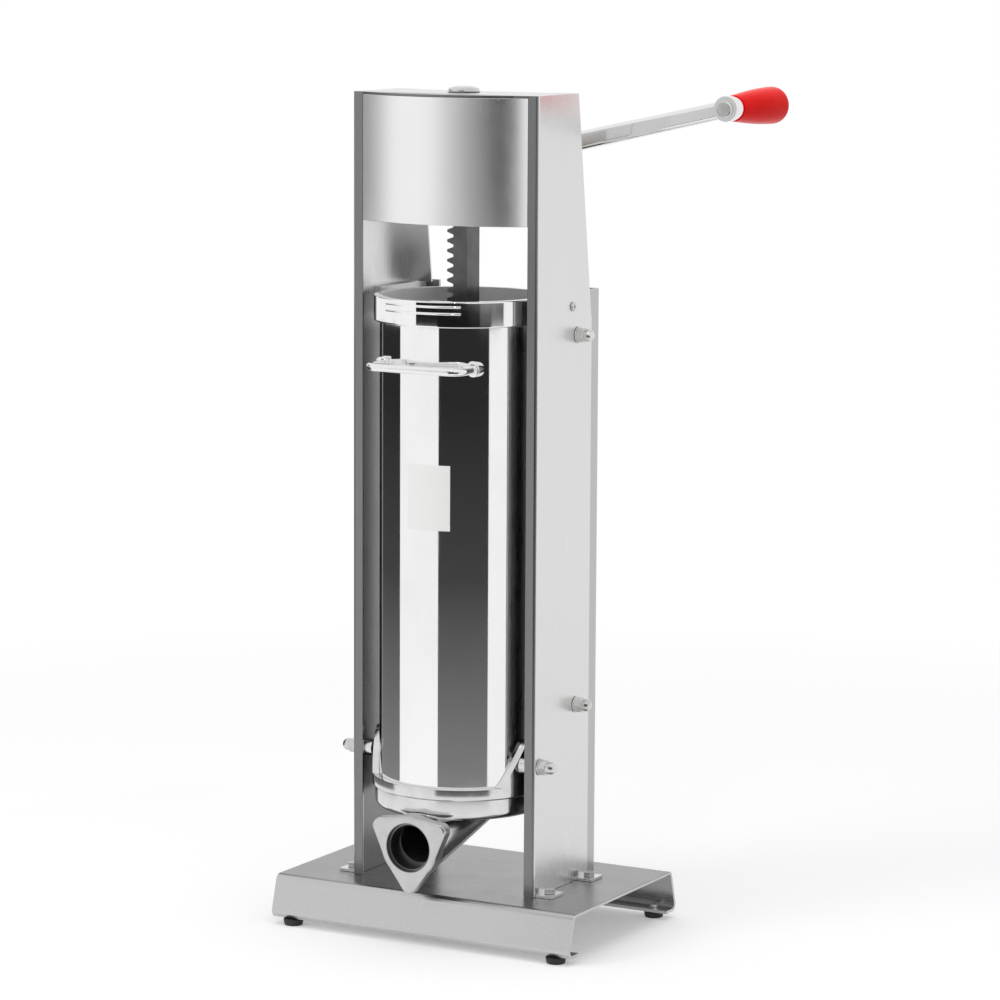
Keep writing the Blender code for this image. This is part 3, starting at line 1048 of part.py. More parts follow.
def make_crank(main_axis, grip_axis):
    hub = main_axis.location + Vector((0, CRANK_FRONT, 0))
    tip = grip_axis.location
    backward = Vector((0, CRANK_BACK - CRANK_FRONT, 0))
    margin = Vector((0, CUT_MARGIN, 0))
    along = (tip - hub).normalized()
    across = Vector((-along.z, 0, along.x))
    corners = [hub + across * CRANK_ROOT_HEIGHT / 2, hub - across * CRANK_ROOT_HEIGHT / 2,
               tip - across * CRANK_TIP_HEIGHT / 2, tip + across * CRANK_TIP_HEIGHT / 2]
    outline = [(corner.x, corner.z) for corner in corners]
    arm = prism("crank_arm", outline, "XZ", CRANK_FRONT, CRANK_FRONT + CRANK_THICKNESS,
                "polished_steel", main_axis)
    weld_on(arm, peg("crank_hub", CRANK_HUB_RADIUS, hub - Vector((0, CRANK_HUB_STAND, 0)),
                     hub + backward, ELBOW_ROUND, None, main_axis))
    weld_on(arm, peg("crank_boss", CRANK_BOSS_RADIUS, tip, tip + backward, SMALL_ROUND, None,
                     main_axis))
    cut(arm, square_bar("crank_square_hole", MAIN_SHAFT_X, HUB_FRONT - CUT_MARGIN,
                        SQUARE_END + GAP, main_axis, GAP))
    cut(arm, peg("crank_screw_hole", CRANK_SCREW_RADIUS + GAP, hub - margin,
                 hub + backward + margin, FASTENER_ROUND, None, main_axis))
    cut(arm, peg("crank_pin_hole", GRIP_PIN_RADIUS + GAP, tip - margin, tip + backward + margin,
                 SMALL_ROUND, None, main_axis))

    # The hub's screw and washer, which hold it on the shaft's square
    seat = CRANK_BACK + GAP
    head_end = seat + CRANK_WASHER + CRANK_SCREW_HEAD
    screw_end = SQUARE_END - CRANK_SCREW_DEPTH
    profile = [
        (0, screw_end), (CRANK_SCREW_RADIUS, screw_end), (CRANK_SCREW_RADIUS, seat),
        (CRANK_WASHER_RADIUS, seat), (CRANK_WASHER_RADIUS, seat + CRANK_WASHER),
        (CRANK_SCREW_HEAD_RADIUS, seat + CRANK_WASHER), (CRANK_SCREW_HEAD_RADIUS, head_end),
        (0, head_end),
    ]
    turned("crank_screw", profile, main_axis.location, (0, 1, 0), FASTENER_ROUND, "bright_nut",
           main_axis)

    # The grip's pin is fixed in the arm's boss; a steel collar stands between boss and grip
    front = -GAP - GRIP_PIN_HEAD_THICKNESS
    collar = CRANK_BACK - CRANK_FRONT + GAP
    grip = collar + GRIP_COLLAR_LENGTH + RUNNING
    last = grip + GRIP_LENGTH
    end = last - GRIP_COVER
    profile = [(0, front), (GRIP_PIN_HEAD, front), (GRIP_PIN_HEAD, -GAP), (GRIP_PIN_RADIUS, -GAP),
               (GRIP_PIN_RADIUS, end), (0, end)]
    turned("grip_pin", profile, tip, (0, 1, 0), SMALL_ROUND, "bright_nut", main_axis)
    profile = tube_profile(GRIP_PIN_RADIUS + GAP, GRIP_COLLAR_RADIUS, collar,
                           collar + GRIP_COLLAR_LENGTH)
    turned("grip_collar", profile, tip, (0, 1, 0), SMALL_ROUND, "polished_steel", main_axis)

    bore = GRIP_PIN_RADIUS + RUNNING
    bore_end = end + GRIP_PIN_END_GAP
    profile = [(bore, grip), (GRIP_START_RADIUS, grip)]
    for step in range(1, 4):
        share = step / 3
        radius = GRIP_START_RADIUS + (GRIP_END_RADIUS - GRIP_START_RADIUS) * sin(share * pi / 2)
        profile.append((radius, grip + (GRIP_LENGTH - GRIP_NOSE) * share))
    for step in range(1, 5):
        angle = step * pi / 8
        profile.append((GRIP_END_RADIUS * cos(angle), last - GRIP_NOSE + GRIP_NOSE * sin(angle)))
    profile += [(0, bore_end), (bore, bore_end)]
    turned("crank_grip", profile, tip, (0, 1, 0), SMALL_ROUND, "red_plastic", grip_axis)


def settle_origin():
    """Moves the machine so that its origin lies on the floor under the middle of its box."""
    bpy.context.view_layer.update()
    graph = bpy.context.evaluated_depsgraph_get()
    low = Vector((1e9, 1e9, 1e9))
    high = -low
    for thing in bpy.context.view_layer.objects:
        if thing.type != "MESH" or thing.hide_render:
            continue
        solid = thing.evaluated_get(graph)
        for corner in solid.bound_box:
            point = solid.matrix_world @ Vector(corner)
            low = Vector(map(min, low, point))
            high = Vector(map(max, high, point))
    machine.location -= Vector(((low.x + high.x) / 2, (low.y + high.y) / 2, low.z))


def main():
    global machine
    clear_scene()
    make_materials()
    machine = joint_axis("stuffer", (0, 0, 0))
    rack_axis = joint_axis("rack_slide_axis", (0, 0, SHAFT_HEIGHT))
    main_axis = joint_axis("main_shaft_axis", (MAIN_SHAFT_X, 0, SHAFT_HEIGHT))
    slow_axis = joint_axis("slow_shaft_axis", (SLOW_SHAFT_X, 0, SHAFT_HEIGHT))
    nut_axis = joint_axis("ring_nut_axis", (0, NUT_FACE, SPOUT_HEIGHT))
    reach = CRANK_LENGTH * cos(CRANK_ANGLE)
    rise = CRANK_LENGTH * sin(CRANK_ANGLE)
    grip_axis = joint_axis("grip_axis", (MAIN_SHAFT_X + reach, CRANK_FRONT, SHAFT_HEIGHT + rise))

    make_base()
    for label, side in (("left", -1), ("right", 1)):
        make_post(label, side)
        make_rail(label, side)
    make_head()
    make_rack_guide()
    make_gears(main_axis, slow_axis)
    make_rack(rack_axis)
    make_piston(rack_axis)
    make_cylinder()
    make_handle()
    make_cup()
    make_ring_nut(nut_axis)
    make_crank(main_axis, grip_axis)
    settle_origin()


main()
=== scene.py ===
# Upright sausage stuffer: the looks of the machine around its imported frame.
# Metres throughout. The floor is at zero, the filling spout points towards -Y and up is +Z.

import math

import bmesh
import bpy
from mathutils import Matrix, Vector


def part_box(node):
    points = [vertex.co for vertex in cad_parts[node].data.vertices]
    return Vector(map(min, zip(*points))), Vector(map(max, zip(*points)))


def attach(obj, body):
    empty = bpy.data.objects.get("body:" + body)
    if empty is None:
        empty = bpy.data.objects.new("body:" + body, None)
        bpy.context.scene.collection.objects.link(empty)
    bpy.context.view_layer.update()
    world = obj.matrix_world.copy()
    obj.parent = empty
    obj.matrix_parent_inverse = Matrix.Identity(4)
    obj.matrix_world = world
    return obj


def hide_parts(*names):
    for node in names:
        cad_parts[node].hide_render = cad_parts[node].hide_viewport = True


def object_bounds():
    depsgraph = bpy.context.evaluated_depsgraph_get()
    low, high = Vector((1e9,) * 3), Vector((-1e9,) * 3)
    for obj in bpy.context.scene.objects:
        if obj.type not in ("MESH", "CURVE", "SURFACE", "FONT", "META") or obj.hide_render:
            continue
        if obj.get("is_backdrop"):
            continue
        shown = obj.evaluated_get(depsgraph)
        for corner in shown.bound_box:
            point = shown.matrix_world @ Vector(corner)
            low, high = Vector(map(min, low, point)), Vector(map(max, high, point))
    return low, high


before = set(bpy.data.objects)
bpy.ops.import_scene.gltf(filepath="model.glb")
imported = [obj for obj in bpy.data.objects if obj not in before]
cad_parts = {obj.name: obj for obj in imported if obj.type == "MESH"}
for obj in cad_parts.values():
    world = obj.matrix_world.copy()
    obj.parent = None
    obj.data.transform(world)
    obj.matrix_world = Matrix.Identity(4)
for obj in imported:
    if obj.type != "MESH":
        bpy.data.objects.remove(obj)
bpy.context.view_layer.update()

mm = 0.001
up = Vector((0, 0, 1))
forwards = Vector((0, -1, 0))
backwards = Vector((0, 1, 0))


def grey(level):
    return (level,) * 3


def cornersOf(node):
    return [Vector(corner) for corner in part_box(node)]


def middleOf(node):
    low, high = cornersOf(node)
    return (low + high) / 2, (high - low) / 2


barrelMiddle, barrelHalf = middleOf("cylinder")
barrelAxis = Vector((barrelMiddle.x, barrelMiddle.y, 0))


class Value:
    # a socket that adds Math nodes when it is used in an expression
    def __init__(self, tree, socket):
        self.tree = tree
        self.socket = socket

    def work(self, operation, *others, turned=False):
        node = self.tree.nodes.new("ShaderNodeMath")
        node.operation = operation
        terms = [self, *others]
        if turned:
            terms.reverse()
        for slot, term in zip(node.inputs, terms):
            if isinstance(term, Value):
                self.tree.links.new(term.socket, slot)
            else:
                slot.default_value = term
        return Value(self.tree, node.outputs[0])

    def __add__(self, other):
        return self.work("ADD", other)

    def __radd__(self, other):
        return self.work("ADD", other, turned=True)

    def __sub__(self, other):
        return self.work("SUBTRACT", other)

    def __rsub__(self, other):
        return self.work("SUBTRACT", other, turned=True)

    def __mul__(self, other):
        return self.work("MULTIPLY", other)

    def __rmul__(self, other):
        return self.work("MULTIPLY", other, turned=True)

    def __truediv__(self, other):
        return self.work("DIVIDE", other)

    def __rtruediv__(self, other):
        return self.work("DIVIDE", other, turned=True)

    def least(self, other):
        return self.work("MINIMUM", other)

    def most(self, other):
        return self.work("MAXIMUM", other)


class Finish:
    # one material with its Principled shader, and short ways to add nodes to it
    def __init__(self, name, **constants):
        self.material = bpy.data.materials.new(name)
        self.material.use_nodes = True
        self.tree = self.material.node_tree
        self.shader = self.tree.nodes["Principled BSDF"]
        for socket, value in constants.items():
            self.shader.inputs[socket.replace("_", " ")].default_value = value

    def node(self, kind, settings=None, values=None, out=0):
        node = self.tree.nodes.new("ShaderNode" + kind)
        for setting, value in (settings or {}).items():
            if setting == "stops":
                ramp = node.color_ramp
                for i, (place, shade) in enumerate(value):
                    stop = ramp.elements[i] if i < 2 else ramp.elements.new(place)
                    stop.position = place
                    stop.color = (shade, shade, shade, 1)
            else:
                setattr(node, setting, value)
        for slot, value in (values or {}).items():
            if isinstance(value, Value):
                self.tree.links.new(value.socket, node.inputs[slot])
            else:
                node.inputs[slot].default_value = value
        return Value(self.tree, node.outputs[out])

    def place(self, scale, turn=(0, 0, 0)):
        # where a point of the surface is, in the machine's own metres, scaled for a pattern
        coordinates = self.node("TexCoord", out=3)
        return self.node("Mapping", {}, {"Vector": coordinates, "Scale": scale, "Rotation": turn})

    def noise(self, scale, size=1.0, detail=3.0, roughness=0.5):
        return self.node("TexNoise", {"noise_dimensions": "3D"},
                         {"Vector": self.place(scale), "Scale": size, "Detail": detail,
                          "Roughness": roughness})

    def along(self, axis):
        # one coordinate of the machine, in metres
        coordinates = self.node("TexCoord", out=3)
        return self.node("SeparateXYZ", {}, {0: coordinates}, out="XYZ".index(axis))

    def below(self, value, limit, soft):
        # 1 where a value is under a limit, 0 where it is over, with a soft edge
        return ((limit - value) / soft + 0.5).most(0.0).least(1.0)

    def ramp(self, factor, *stops):
        return self.node("ValToRGB", {"stops": stops}, {0: factor})

    def shade(self, factor, dark, light):
        # a colour between two, by a factor
        return self.node("Mix", {"data_type": "RGBA"},
                         {0: factor, 6: (*dark, 1), 7: (*light, 1)}, out=2)

    def dim(self, factor, colour, share):
        # turns a colour down to a share of itself where the factor is 1
        return self.node("Mix", {"data_type": "RGBA", "blend_type": "MULTIPLY"},
                         {0: factor, 6: colour, 7: (share, share, share, 1)}, out=2)

    def bump(self, height, strength, distance):
        return self.node("Bump", {}, {"Height": height, "Strength": strength,
                                      "Distance": distance})

    def feed(self, socket, value):
        self.tree.links.new(value.socket, self.shader.inputs[socket])


brushing = {
    "across": 900.0,      # streaks per metre across the brushing
    "along": 9.0,         # streaks per metre along it
    "dark": grey(0.69),
    "light": grey(0.74),
    "smooth": 0.24,
    "rough": 0.34,
    "depth": 0.00003,
    "relief": 0.07,
}


def brushedSteel(name, direction, settings=brushing, dark=None, light=None, paintedShade=()):
    # fine streaks along one axis, cloudy wear over them, and painted shade turned in where the
    # given masks fall
    finish = Finish(name, Metallic=1.0)
    scale = [settings["across"]] * 3
    scale["XYZ".index(direction)] = settings["along"]
    streaks = finish.noise(tuple(scale), detail=4.0, roughness=0.65)
    clouds = finish.noise((9, 9, 6), detail=3.0, roughness=0.55)
    patches = finish.noise((38, 38, 26), detail=2.0)
    shade = streaks * 0.55 + clouds * 0.3 + patches * 0.15
    colour = finish.shade(finish.ramp(shade, (0.30, 0), (0.70, 1)),
                          dark or settings["dark"], light or settings["light"])
    # painted shade: each mask turns the colour down to its share
    for place, share in paintedShade:
        colour = finish.dim(place(finish), colour, share)
    finish.feed("Base Color", colour)
    spread = settings["rough"] - settings["smooth"]
    wear = finish.ramp(streaks * 0.6 + patches * 0.4, (0.32, 0), (0.68, 1))
    finish.feed("Roughness", wear * spread + settings["smooth"])
    finish.feed("Normal", finish.bump(streaks, settings["relief"], settings["depth"]))
    return finish.material


def polishedSteel(name, colour=grey(0.88), smooth=0.03, smear=0.07, insideTube=0.0):
    # mirror finish with faint wiping marks and finger smears; a tube is brushed on its inside
    finish = Finish(name, Metallic=1.0)
    wiping = finish.noise((210, 210, 14), detail=3.0)
    smears = finish.noise((16, 16, 11), detail=4.0, roughness=0.6)
    marks = finish.ramp(smears, (0.45, 0), (0.75, 1))
    dimmer = tuple(part * 0.93 for part in colour)
    finish.feed("Base Color", finish.shade(marks * 0.7 + wiping * 0.3, colour, dimmer))
    roughness = marks * smear + wiping * 0.02 + smooth
    if insideTube:
        aside = finish.along("X") - barrelMiddle.x
        ahead = finish.along("Y") - barrelMiddle.y
        inner = finish.below(aside * aside + ahead * ahead, (barrelHalf.x - 1 * mm) ** 2, 0.00004)
        roughness = roughness + inner * insideTube
    finish.feed("Roughness", roughness)
    finish.feed("Normal", finish.bump(wiping, 0.1, 0.000004))
    return finish.material


def turnedSteel(name, colour=grey(0.70), smooth=0.16):
    # fine tool marks in every direction, for nuts, pins, gears and the rack
    finish = Finish(name, Metallic=1.0)
    marks = finish.noise((1400, 1400, 1400), detail=2.0)
    stains = finish.noise((60, 60, 60), detail=3.0)
    darker = tuple(part * 0.72 for part in colour)
    finish.feed("Base Color", finish.shade(finish.ramp(stains, (0.3, 0), (0.7, 1)), darker, colour))
    finish.feed("Roughness", marks * 0.12 + stains * 0.12 + smooth)
    finish.feed("Normal", finish.bump(marks, 0.12, 0.00001))
    return finish.material


def castMetal(name, colour, smooth, rougher, depth):
    # tumbled casting: a fine grain under a soft uneven polish, and rough bores darkened with
    # painted shade
    finish = Finish(name, Metallic=1.0)
    grain = finish.noise((1700, 1700, 1700), detail=3.0, roughness=0.7)
    waves = finish.noise((70, 70, 70), detail=3.0)
    darker = tuple(part * 0.8 for part in colour)
    share = finish.ramp(grain * 0.5 + waves * 0.5, (0.35, 0), (0.65, 1))
    tone = finish.shade(share, darker, colour)
    # painted shade inside the spout's bore, which is also rougher
    aside = finish.along("X") - barrelMiddle.x
    above = finish.along("Z") - spoutLevel
    roughBoreAndShade = finish.below(aside * aside + above * above, boreReach ** 2, 0.00002)
    finish.feed("Base Color", finish.dim(roughBoreAndShade, tone, 0.35))
    uneven = finish.ramp(waves, (0.3, 0), (0.7, 1))
    finish.feed("Roughness", uneven * rougher + roughBoreAndShade * 0.3 + smooth)
    finish.feed("Normal", finish.bump(grain * 0.6 + waves * 0.4, depth, 0.00006))
    return finish.material


def mouldedPlastic(name, dark, light, smooth, coat=0.0, gloss=0.5):
    # moulded skin: a slight orange peel, and faint handling marks
    finish = Finish(name, Coat_Weight=coat, Coat_Roughness=0.08, IOR=1.5, Specular_IOR_Level=gloss)
    peel = finish.noise((520, 520, 520), detail=2.0)
    clouds = finish.noise((46, 46, 46), detail=3.0)
    finish.feed("Base Color", finish.shade(finish.ramp(clouds, (0.3, 0), (0.7, 1)), dark, light))
    finish.feed("Roughness", finish.ramp(clouds, (0.35, 0), (0.75, 1)) * 0.1 + smooth)
    finish.feed("Normal", finish.bump(peel, 0.2, 0.00008))
    return finish.material


def blankPaper(name):
    finish = Finish(name, Specular_IOR_Level=0.4)
    fibre = finish.noise((1500, 1500, 1500), detail=3.0)
    clouds = finish.noise((40, 40, 40), detail=2.0)
    finish.feed("Base Color", finish.shade(fibre * 0.4 + clouds * 0.6, (0.87, 0.87, 0.86),
                                           (0.94, 0.94, 0.93)))
    finish.feed("Roughness", fibre * 0.15 + 0.32)
    finish.feed("Normal", finish.bump(fibre, 0.1, 0.00002))
    return finish.material


postLow = Vector(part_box("post_right")[0])
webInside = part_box("rail_right")[1][0] - barrelMiddle.x
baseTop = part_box("base_plate")[1][2]
lobeReach = 45 * mm        # from the spout's axis down to the ring nut's lowest lobe
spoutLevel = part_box("ring_nut")[0][2] + lobeReach
boreReach = 24 * mm
shadeTop = 590 * mm        # up to here the cylinder shades the posts and rails
shadeSoft = 16 * mm


def flangePaintedShade(finish):
    # painted shade on the narrow flange along a post's front edge, standing in for its dark
    # reflection
    return finish.below(finish.along("Y"), postLow.y + 1.2 * mm, 0.4 * mm)


def postInside(finish):
    # the posts' inner faces beside the cylinder, which stand in its shade
    aside = finish.along("X") - barrelMiddle.x
    inner = finish.below(aside.most(aside * -1), webInside + 1 * mm, 0.3 * mm)
    behind = 1 - finish.below(finish.along("Y"), barrelMiddle.y + 6 * mm, 6 * mm)
    return inner * behind * finish.below(finish.along("Z"), shadeTop, shadeSoft)


def railPaintedShade(finish):
    # painted shade on the rails beside the cylinder
    near = finish.below(finish.along("Y"), barrelMiddle.y + 50 * mm, 30 * mm)
    return near * finish.below(finish.along("Z"), shadeTop, shadeSoft)


def baseTopPaintedShade(finish):
    # painted shade on the base's flat top, which is turned darker than its front skirt
    return 1 - finish.below(finish.along("Z"), baseTop - 0.8 * mm, 0.6 * mm)


# painted shade: the posts' front flanges turned down to 0.30, their inner faces beside the cylinder
# to 0.06
postSteel = brushedSteel("postSteel", "Z", paintedShade=[(flangePaintedShade, 0.30), (postInside, 0.06)])
# painted shade: the rails beside the cylinder turned down to half
railSteel = brushedSteel("railSteel", "Z", dark=grey(0.46), light=grey(0.52),
                         paintedShade=[(railPaintedShade, 0.5)])
# painted shade: the base's flat top turned down to half
baseSteel = brushedSteel("baseSteel", "X", dark=grey(0.53), light=grey(0.57),
                         paintedShade=[(baseTopPaintedShade, 0.50)])
drumSteel = brushedSteel("drumSteel", "X", {**brushing, "smooth": 0.17, "rough": 0.25},
                         dark=grey(0.84), light=grey(0.88))
mirrorSteel = polishedSteel("mirrorSteel", insideTube=0.5)
rodSteel = polishedSteel("rodSteel", grey(0.82), 0.07, 0.08)
gearSteel = turnedSteel("gearSteel", (0.55, 0.55, 0.54), 0.22)
rackSteel = turnedSteel("rackSteel", grey(0.13), 0.12)
nutSteel = turnedSteel("nutSteel", (0.70, 0.70, 0.69), 0.10)
cupMetal = castMetal("cupMetal", grey(0.74), 0.10, 0.08, 0.15)
nutMetal = castMetal("nutMetal", grey(0.64), 0.28, 0.12, 0.3)
bushBronze = turnedSteel("bushBronze", (0.62, 0.42, 0.22), 0.28)
gripPlastic = mouldedPlastic("gripPlastic", (0.80, 0.002, 0.002), (0.90, 0.003, 0.003), 0.16,
                             gloss=0.04)
footRubber = mouldedPlastic("footRubber", grey(0.012), grey(0.03), 0.55)
sealPlastic = mouldedPlastic("sealPlastic", (0.76, 0.76, 0.73), (0.86, 0.86, 0.84), 0.34)
labelPaper = blankPaper("labelPaper")
print("finishes made")


def turning(place, direction):
    # moves a shape made about +Z to an axis through a place
    turn = up.rotation_difference(Vector(direction)).to_matrix().to_4x4()
    return Matrix.Translation(place) @ turn


def spinProfile(edit, profile, segments=128):
    # a closed outline of (radius, height) turned about +Z
    points = [edit.verts.new((radius, 0, height)) for radius, height in profile]
    edges = []
    for before, point in zip([points[-1], *points], points):
        if before.co.x > 0 or point.co.x > 0:
            edges.append(edit.edges.new((before, point)))
    bmesh.ops.spin(edit, geom=points + edges, cent=(0, 0, 0), axis=(0, 0, 1), dvec=(0, 0, 0),
                   angle=2 * math.pi, steps=segments, use_merge=True)
    bmesh.ops.remove_doubles(edit, verts=edit.verts, dist=1e-7)


def asObject(name, edit):
    mesh = bpy.data.meshes.new(name)
    edit.to_mesh(mesh)
    edit.free()
    thing = bpy.data.objects.new(name, mesh)
    bpy.context.collection.objects.link(thing)
    return thing


def toAxis(edit):
    # shapes are made about the cylinder's axis and then moved to it
    bmesh.ops.translate(edit, verts=edit.verts, vec=barrelAxis)


def piece(name, edit, material, body, replaced=(), slot=None, soften=0.0, steps=2, sharp=32):
    # turns a bmesh into a finished piece that rides on a body
    bmesh.ops.recalc_face_normals(edit, faces=edit.faces)
    thing = asObject(name, edit)
    mesh = thing.data
    mesh.shade_smooth()
    mesh.materials.append(material)
    if soften:
        bevel = thing.modifiers.new("edges", "BEVEL")
        bevel.width = soften
        bevel.segments = steps
        bevel.limit_method = "ANGLE"
        bevel.angle_limit = math.radians(sharp)
        bevel.harden_normals = True
    else:
        mesh.set_sharp_from_angle(angle=math.radians(sharp))
    if replaced:
        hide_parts(*replaced)
    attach(thing, body)


def turnedPiece(name, profile, place, direction, material, body, segments=128, **more):
    edit = bmesh.new()
    spinProfile(edit, profile, segments)
    bmesh.ops.transform(edit, matrix=turning(place, direction), verts=edit.verts)
    piece(name, edit, material, body, **more)


def vertsOf(made):
    return [item for item in made["geom"] if isinstance(item, bmesh.types.BMVert)]


def wrapHull(edit):
    bmesh.ops.convex_hull(edit, input=edit.verts)
    loose = [vert for vert in edit.verts if not vert.link_faces]
    bmesh.ops.delete(edit, geom=loose, context="VERTS")


def arcPoints(centre, radius, first, last, steps):
    # points on an arc, angles in degrees
    points = []
    for step in range(steps + 1):
        angle = math.radians(first + (last - first) * step / steps)
        points.append((centre[0] + radius * math.cos(angle), centre[1] + radius * math.sin(angle)))
    return points


def addTurned(edit, profile, place, direction, segments=64):
    # a turned body added to a piece that is being made
    part = bmesh.new()
    spinProfile(part, profile, segments)
    bmesh.ops.transform(part, matrix=turning(place, direction), verts=part.verts)
    addPart(edit, part)


def addPart(edit, part):
    bmesh.ops.recalc_face_normals(part, faces=part.faces)
    mesh = bpy.data.meshes.new("part")
    part.to_mesh(mesh)
    part.free()
    edit.from_mesh(mesh)
    bpy.data.meshes.remove(mesh)


barrel = {
    "wall": 2 * mm,
    "edge": 0.5 * mm,
    "segments": 192,
}
radius = barrelHalf.x
low = barrelMiddle.z - barrelHalf.z
high = barrelMiddle.z + barrelHalf.z
inside = radius - barrel["wall"]
turnedPiece("cylinderTube", [(inside, low), (radius, low), (radius, high), (inside, high)],
            barrelAxis, up, mirrorSteel, "stand", barrel["segments"],
            replaced=["cylinder"], slot="polished_steel", soften=barrel["edge"])

collar = {
    "edge": 1.2 * mm,
    "support": 0.4 * mm,       # keeps the wall's shading flat beside its rounded edges
    "ribStand": 1.6 * mm,
    "ribHeight": 2.2 * mm,
    "ribPitch": 6.4 * mm,
    "ribSpread": 28,
    "ribRise": 4 * mm,
}
collarMiddle, collarHalf = middleOf("cylinder_collar")
collarRadius = collarHalf.x
low = collarMiddle.z - collarHalf.z
high = collarMiddle.z + collarHalf.z
inside = radius + 0.3 * mm
edge = collar["edge"]
profile = [(inside, low), *arcPoints((collarRadius - edge, low + edge), edge, -90, 0, 4),
           (collarRadius, low + edge + collar["support"]),
           (collarRadius, high - edge - collar["support"]),
           *arcPoints((collarRadius - edge, high - edge), edge, 0, 90, 4), (inside, high)]
edit = bmesh.new()
spinProfile(edit, profile, barrel["segments"])
for number in (-1, 1):
    # each raised rib is a small rounded section swept part of the way round
    rib = bmesh.new()
    level = collarMiddle.z + collar["ribRise"] + number * collar["ribPitch"] / 2
    half = collar["ribHeight"] / 2
    out = collarRadius + collar["ribStand"]
    section = [(collarRadius - 2 * mm, level - half),
               *arcPoints((out - half, level), half, -90, 90, 8),
               (collarRadius - 2 * mm, level + half)]
    face = rib.faces.new([rib.verts.new((away, 0, level)) for away, level in section])
    start = math.radians(-90 - collar["ribSpread"])
    bmesh.ops.rotate(rib, verts=rib.verts, cent=(0, 0, 0),
                     matrix=Matrix.Rotation(start, 3, "Z"))
    bmesh.ops.spin(rib, geom=[face], cent=(0, 0, 0), axis=(0, 0, 1), dvec=(0, 0, 0),
                   angle=math.radians(2 * collar["ribSpread"]), steps=32)
    bmesh.ops.remove_doubles(rib, verts=rib.verts, dist=1e-7)
    addPart(edit, rib)
toAxis(edit)
piece("collarRing", edit, mirrorSteel, "stand", ["cylinder_collar"], "polished_steel")

label = {
    "azimuths": (-10.6, 21.1),     # degrees from the front towards +X
    "levels": (403.6 * mm, 466 * mm),
    "thickness": 0.15 * mm,
    "corner": 0.4 * mm,
}
edit = bmesh.new()
lift = radius + 0.02 * mm
section = [(lift, label["levels"][0]), (lift + label["thickness"], label["levels"][0]),
           (lift + label["thickness"], label["levels"][1]), (lift, label["levels"][1])]
face = edit.faces.new([edit.verts.new((away, 0, level)) for away, level in section])
first, last = (math.radians(angle - 90) for angle in label["azimuths"])
bmesh.ops.rotate(edit, verts=edit.verts, cent=(0, 0, 0), matrix=Matrix.Rotation(first, 3, "Z"))
bmesh.ops.spin(edit, geom=[face], cent=(0, 0, 0), axis=(0, 0, 1), dvec=(0, 0, 0),
               angle=last - first, steps=24)
bmesh.ops.remove_doubles(edit, verts=edit.verts, dist=1e-8)
toAxis(edit)
piece("blankLabel", edit, labelPaper, "stand")
print("cylinder made")


handle = {
    "rod": 8 * mm,
    "bend": 12 * mm,
    "footRadius": 7 * mm,
    "footDepth": 8 * mm,
    "footSink": 3 * mm,
    "footRound": 1.6 * mm,
    "reach": 18 * mm,
    "halfWidth": 50 * mm,
}
handleLevel = middleOf("cylinder_handle")[0].z
footY = -math.sqrt(radius ** 2 - handle["halfWidth"] ** 2)
barY = -radius - handle["reach"]


def sweepOn(edit, ring, move):
    made = bmesh.ops.extrude_edge_only(edit, edges=ring)
    verts = vertsOf(made)
    bmesh.ops.translate(edit, verts=verts, vec=move)
    return [item for item in made["geom"] if isinstance(item, bmesh.types.BMEdge)
            and all(vert in verts for vert in item.verts)]


def bendOn(edit, ring, centre, axis, angle, steps=12):
    made = bmesh.ops.spin(edit, geom=ring, cent=centre, axis=axis, dvec=(0, 0, 0),
                          angle=math.radians(angle), steps=steps)
    return [item for item in made["geom_last"] if isinstance(item, bmesh.types.BMEdge)]


edit = bmesh.new()
level = handleLevel
bend = handle["bend"]
half = handle["halfWidth"]
start = Vector((-half, footY + 1 * mm, level))
bmesh.ops.create_circle(edit, segments=24, radius=handle["rod"] / 2, cap_ends=False,
                        matrix=turning(start, forwards))
ring = list(edit.edges)
ring = sweepOn(edit, ring, Vector((0, barY + bend - start.y, 0)))
ring = bendOn(edit, ring, (-half + bend, barY + bend, level), up, 90)
ring = sweepOn(edit, ring, Vector((2 * (half - bend), 0, 0)))
ring = bendOn(edit, ring, (half - bend, barY + bend, level), up, 90)
ring = sweepOn(edit, ring, Vector((0, footY + 1 * mm - barY - bend, 0)))
bmesh.ops.holes_fill(edit, edges=edit.edges, sides=0)
for side in (-1, 1):
    # a small turned foot, welded to the cylinder
    foot = handle["footRadius"]
    depth = handle["footDepth"]
    sink = handle["footSink"]
    turn = handle["footRound"]
    profile = [(0, -sink), (foot, -sink), (foot, depth - 2 * mm),
               *arcPoints((foot - turn, depth - turn), turn, 0, 90, 6), (0, depth)]
    addTurned(edit, profile, Vector((side * half, footY, level)), forwards, 48)
toAxis(edit)
piece("cylinderHandle", edit, rodSteel, "stand", ["cylinder_handle"], "polished_steel")
print("handle made")


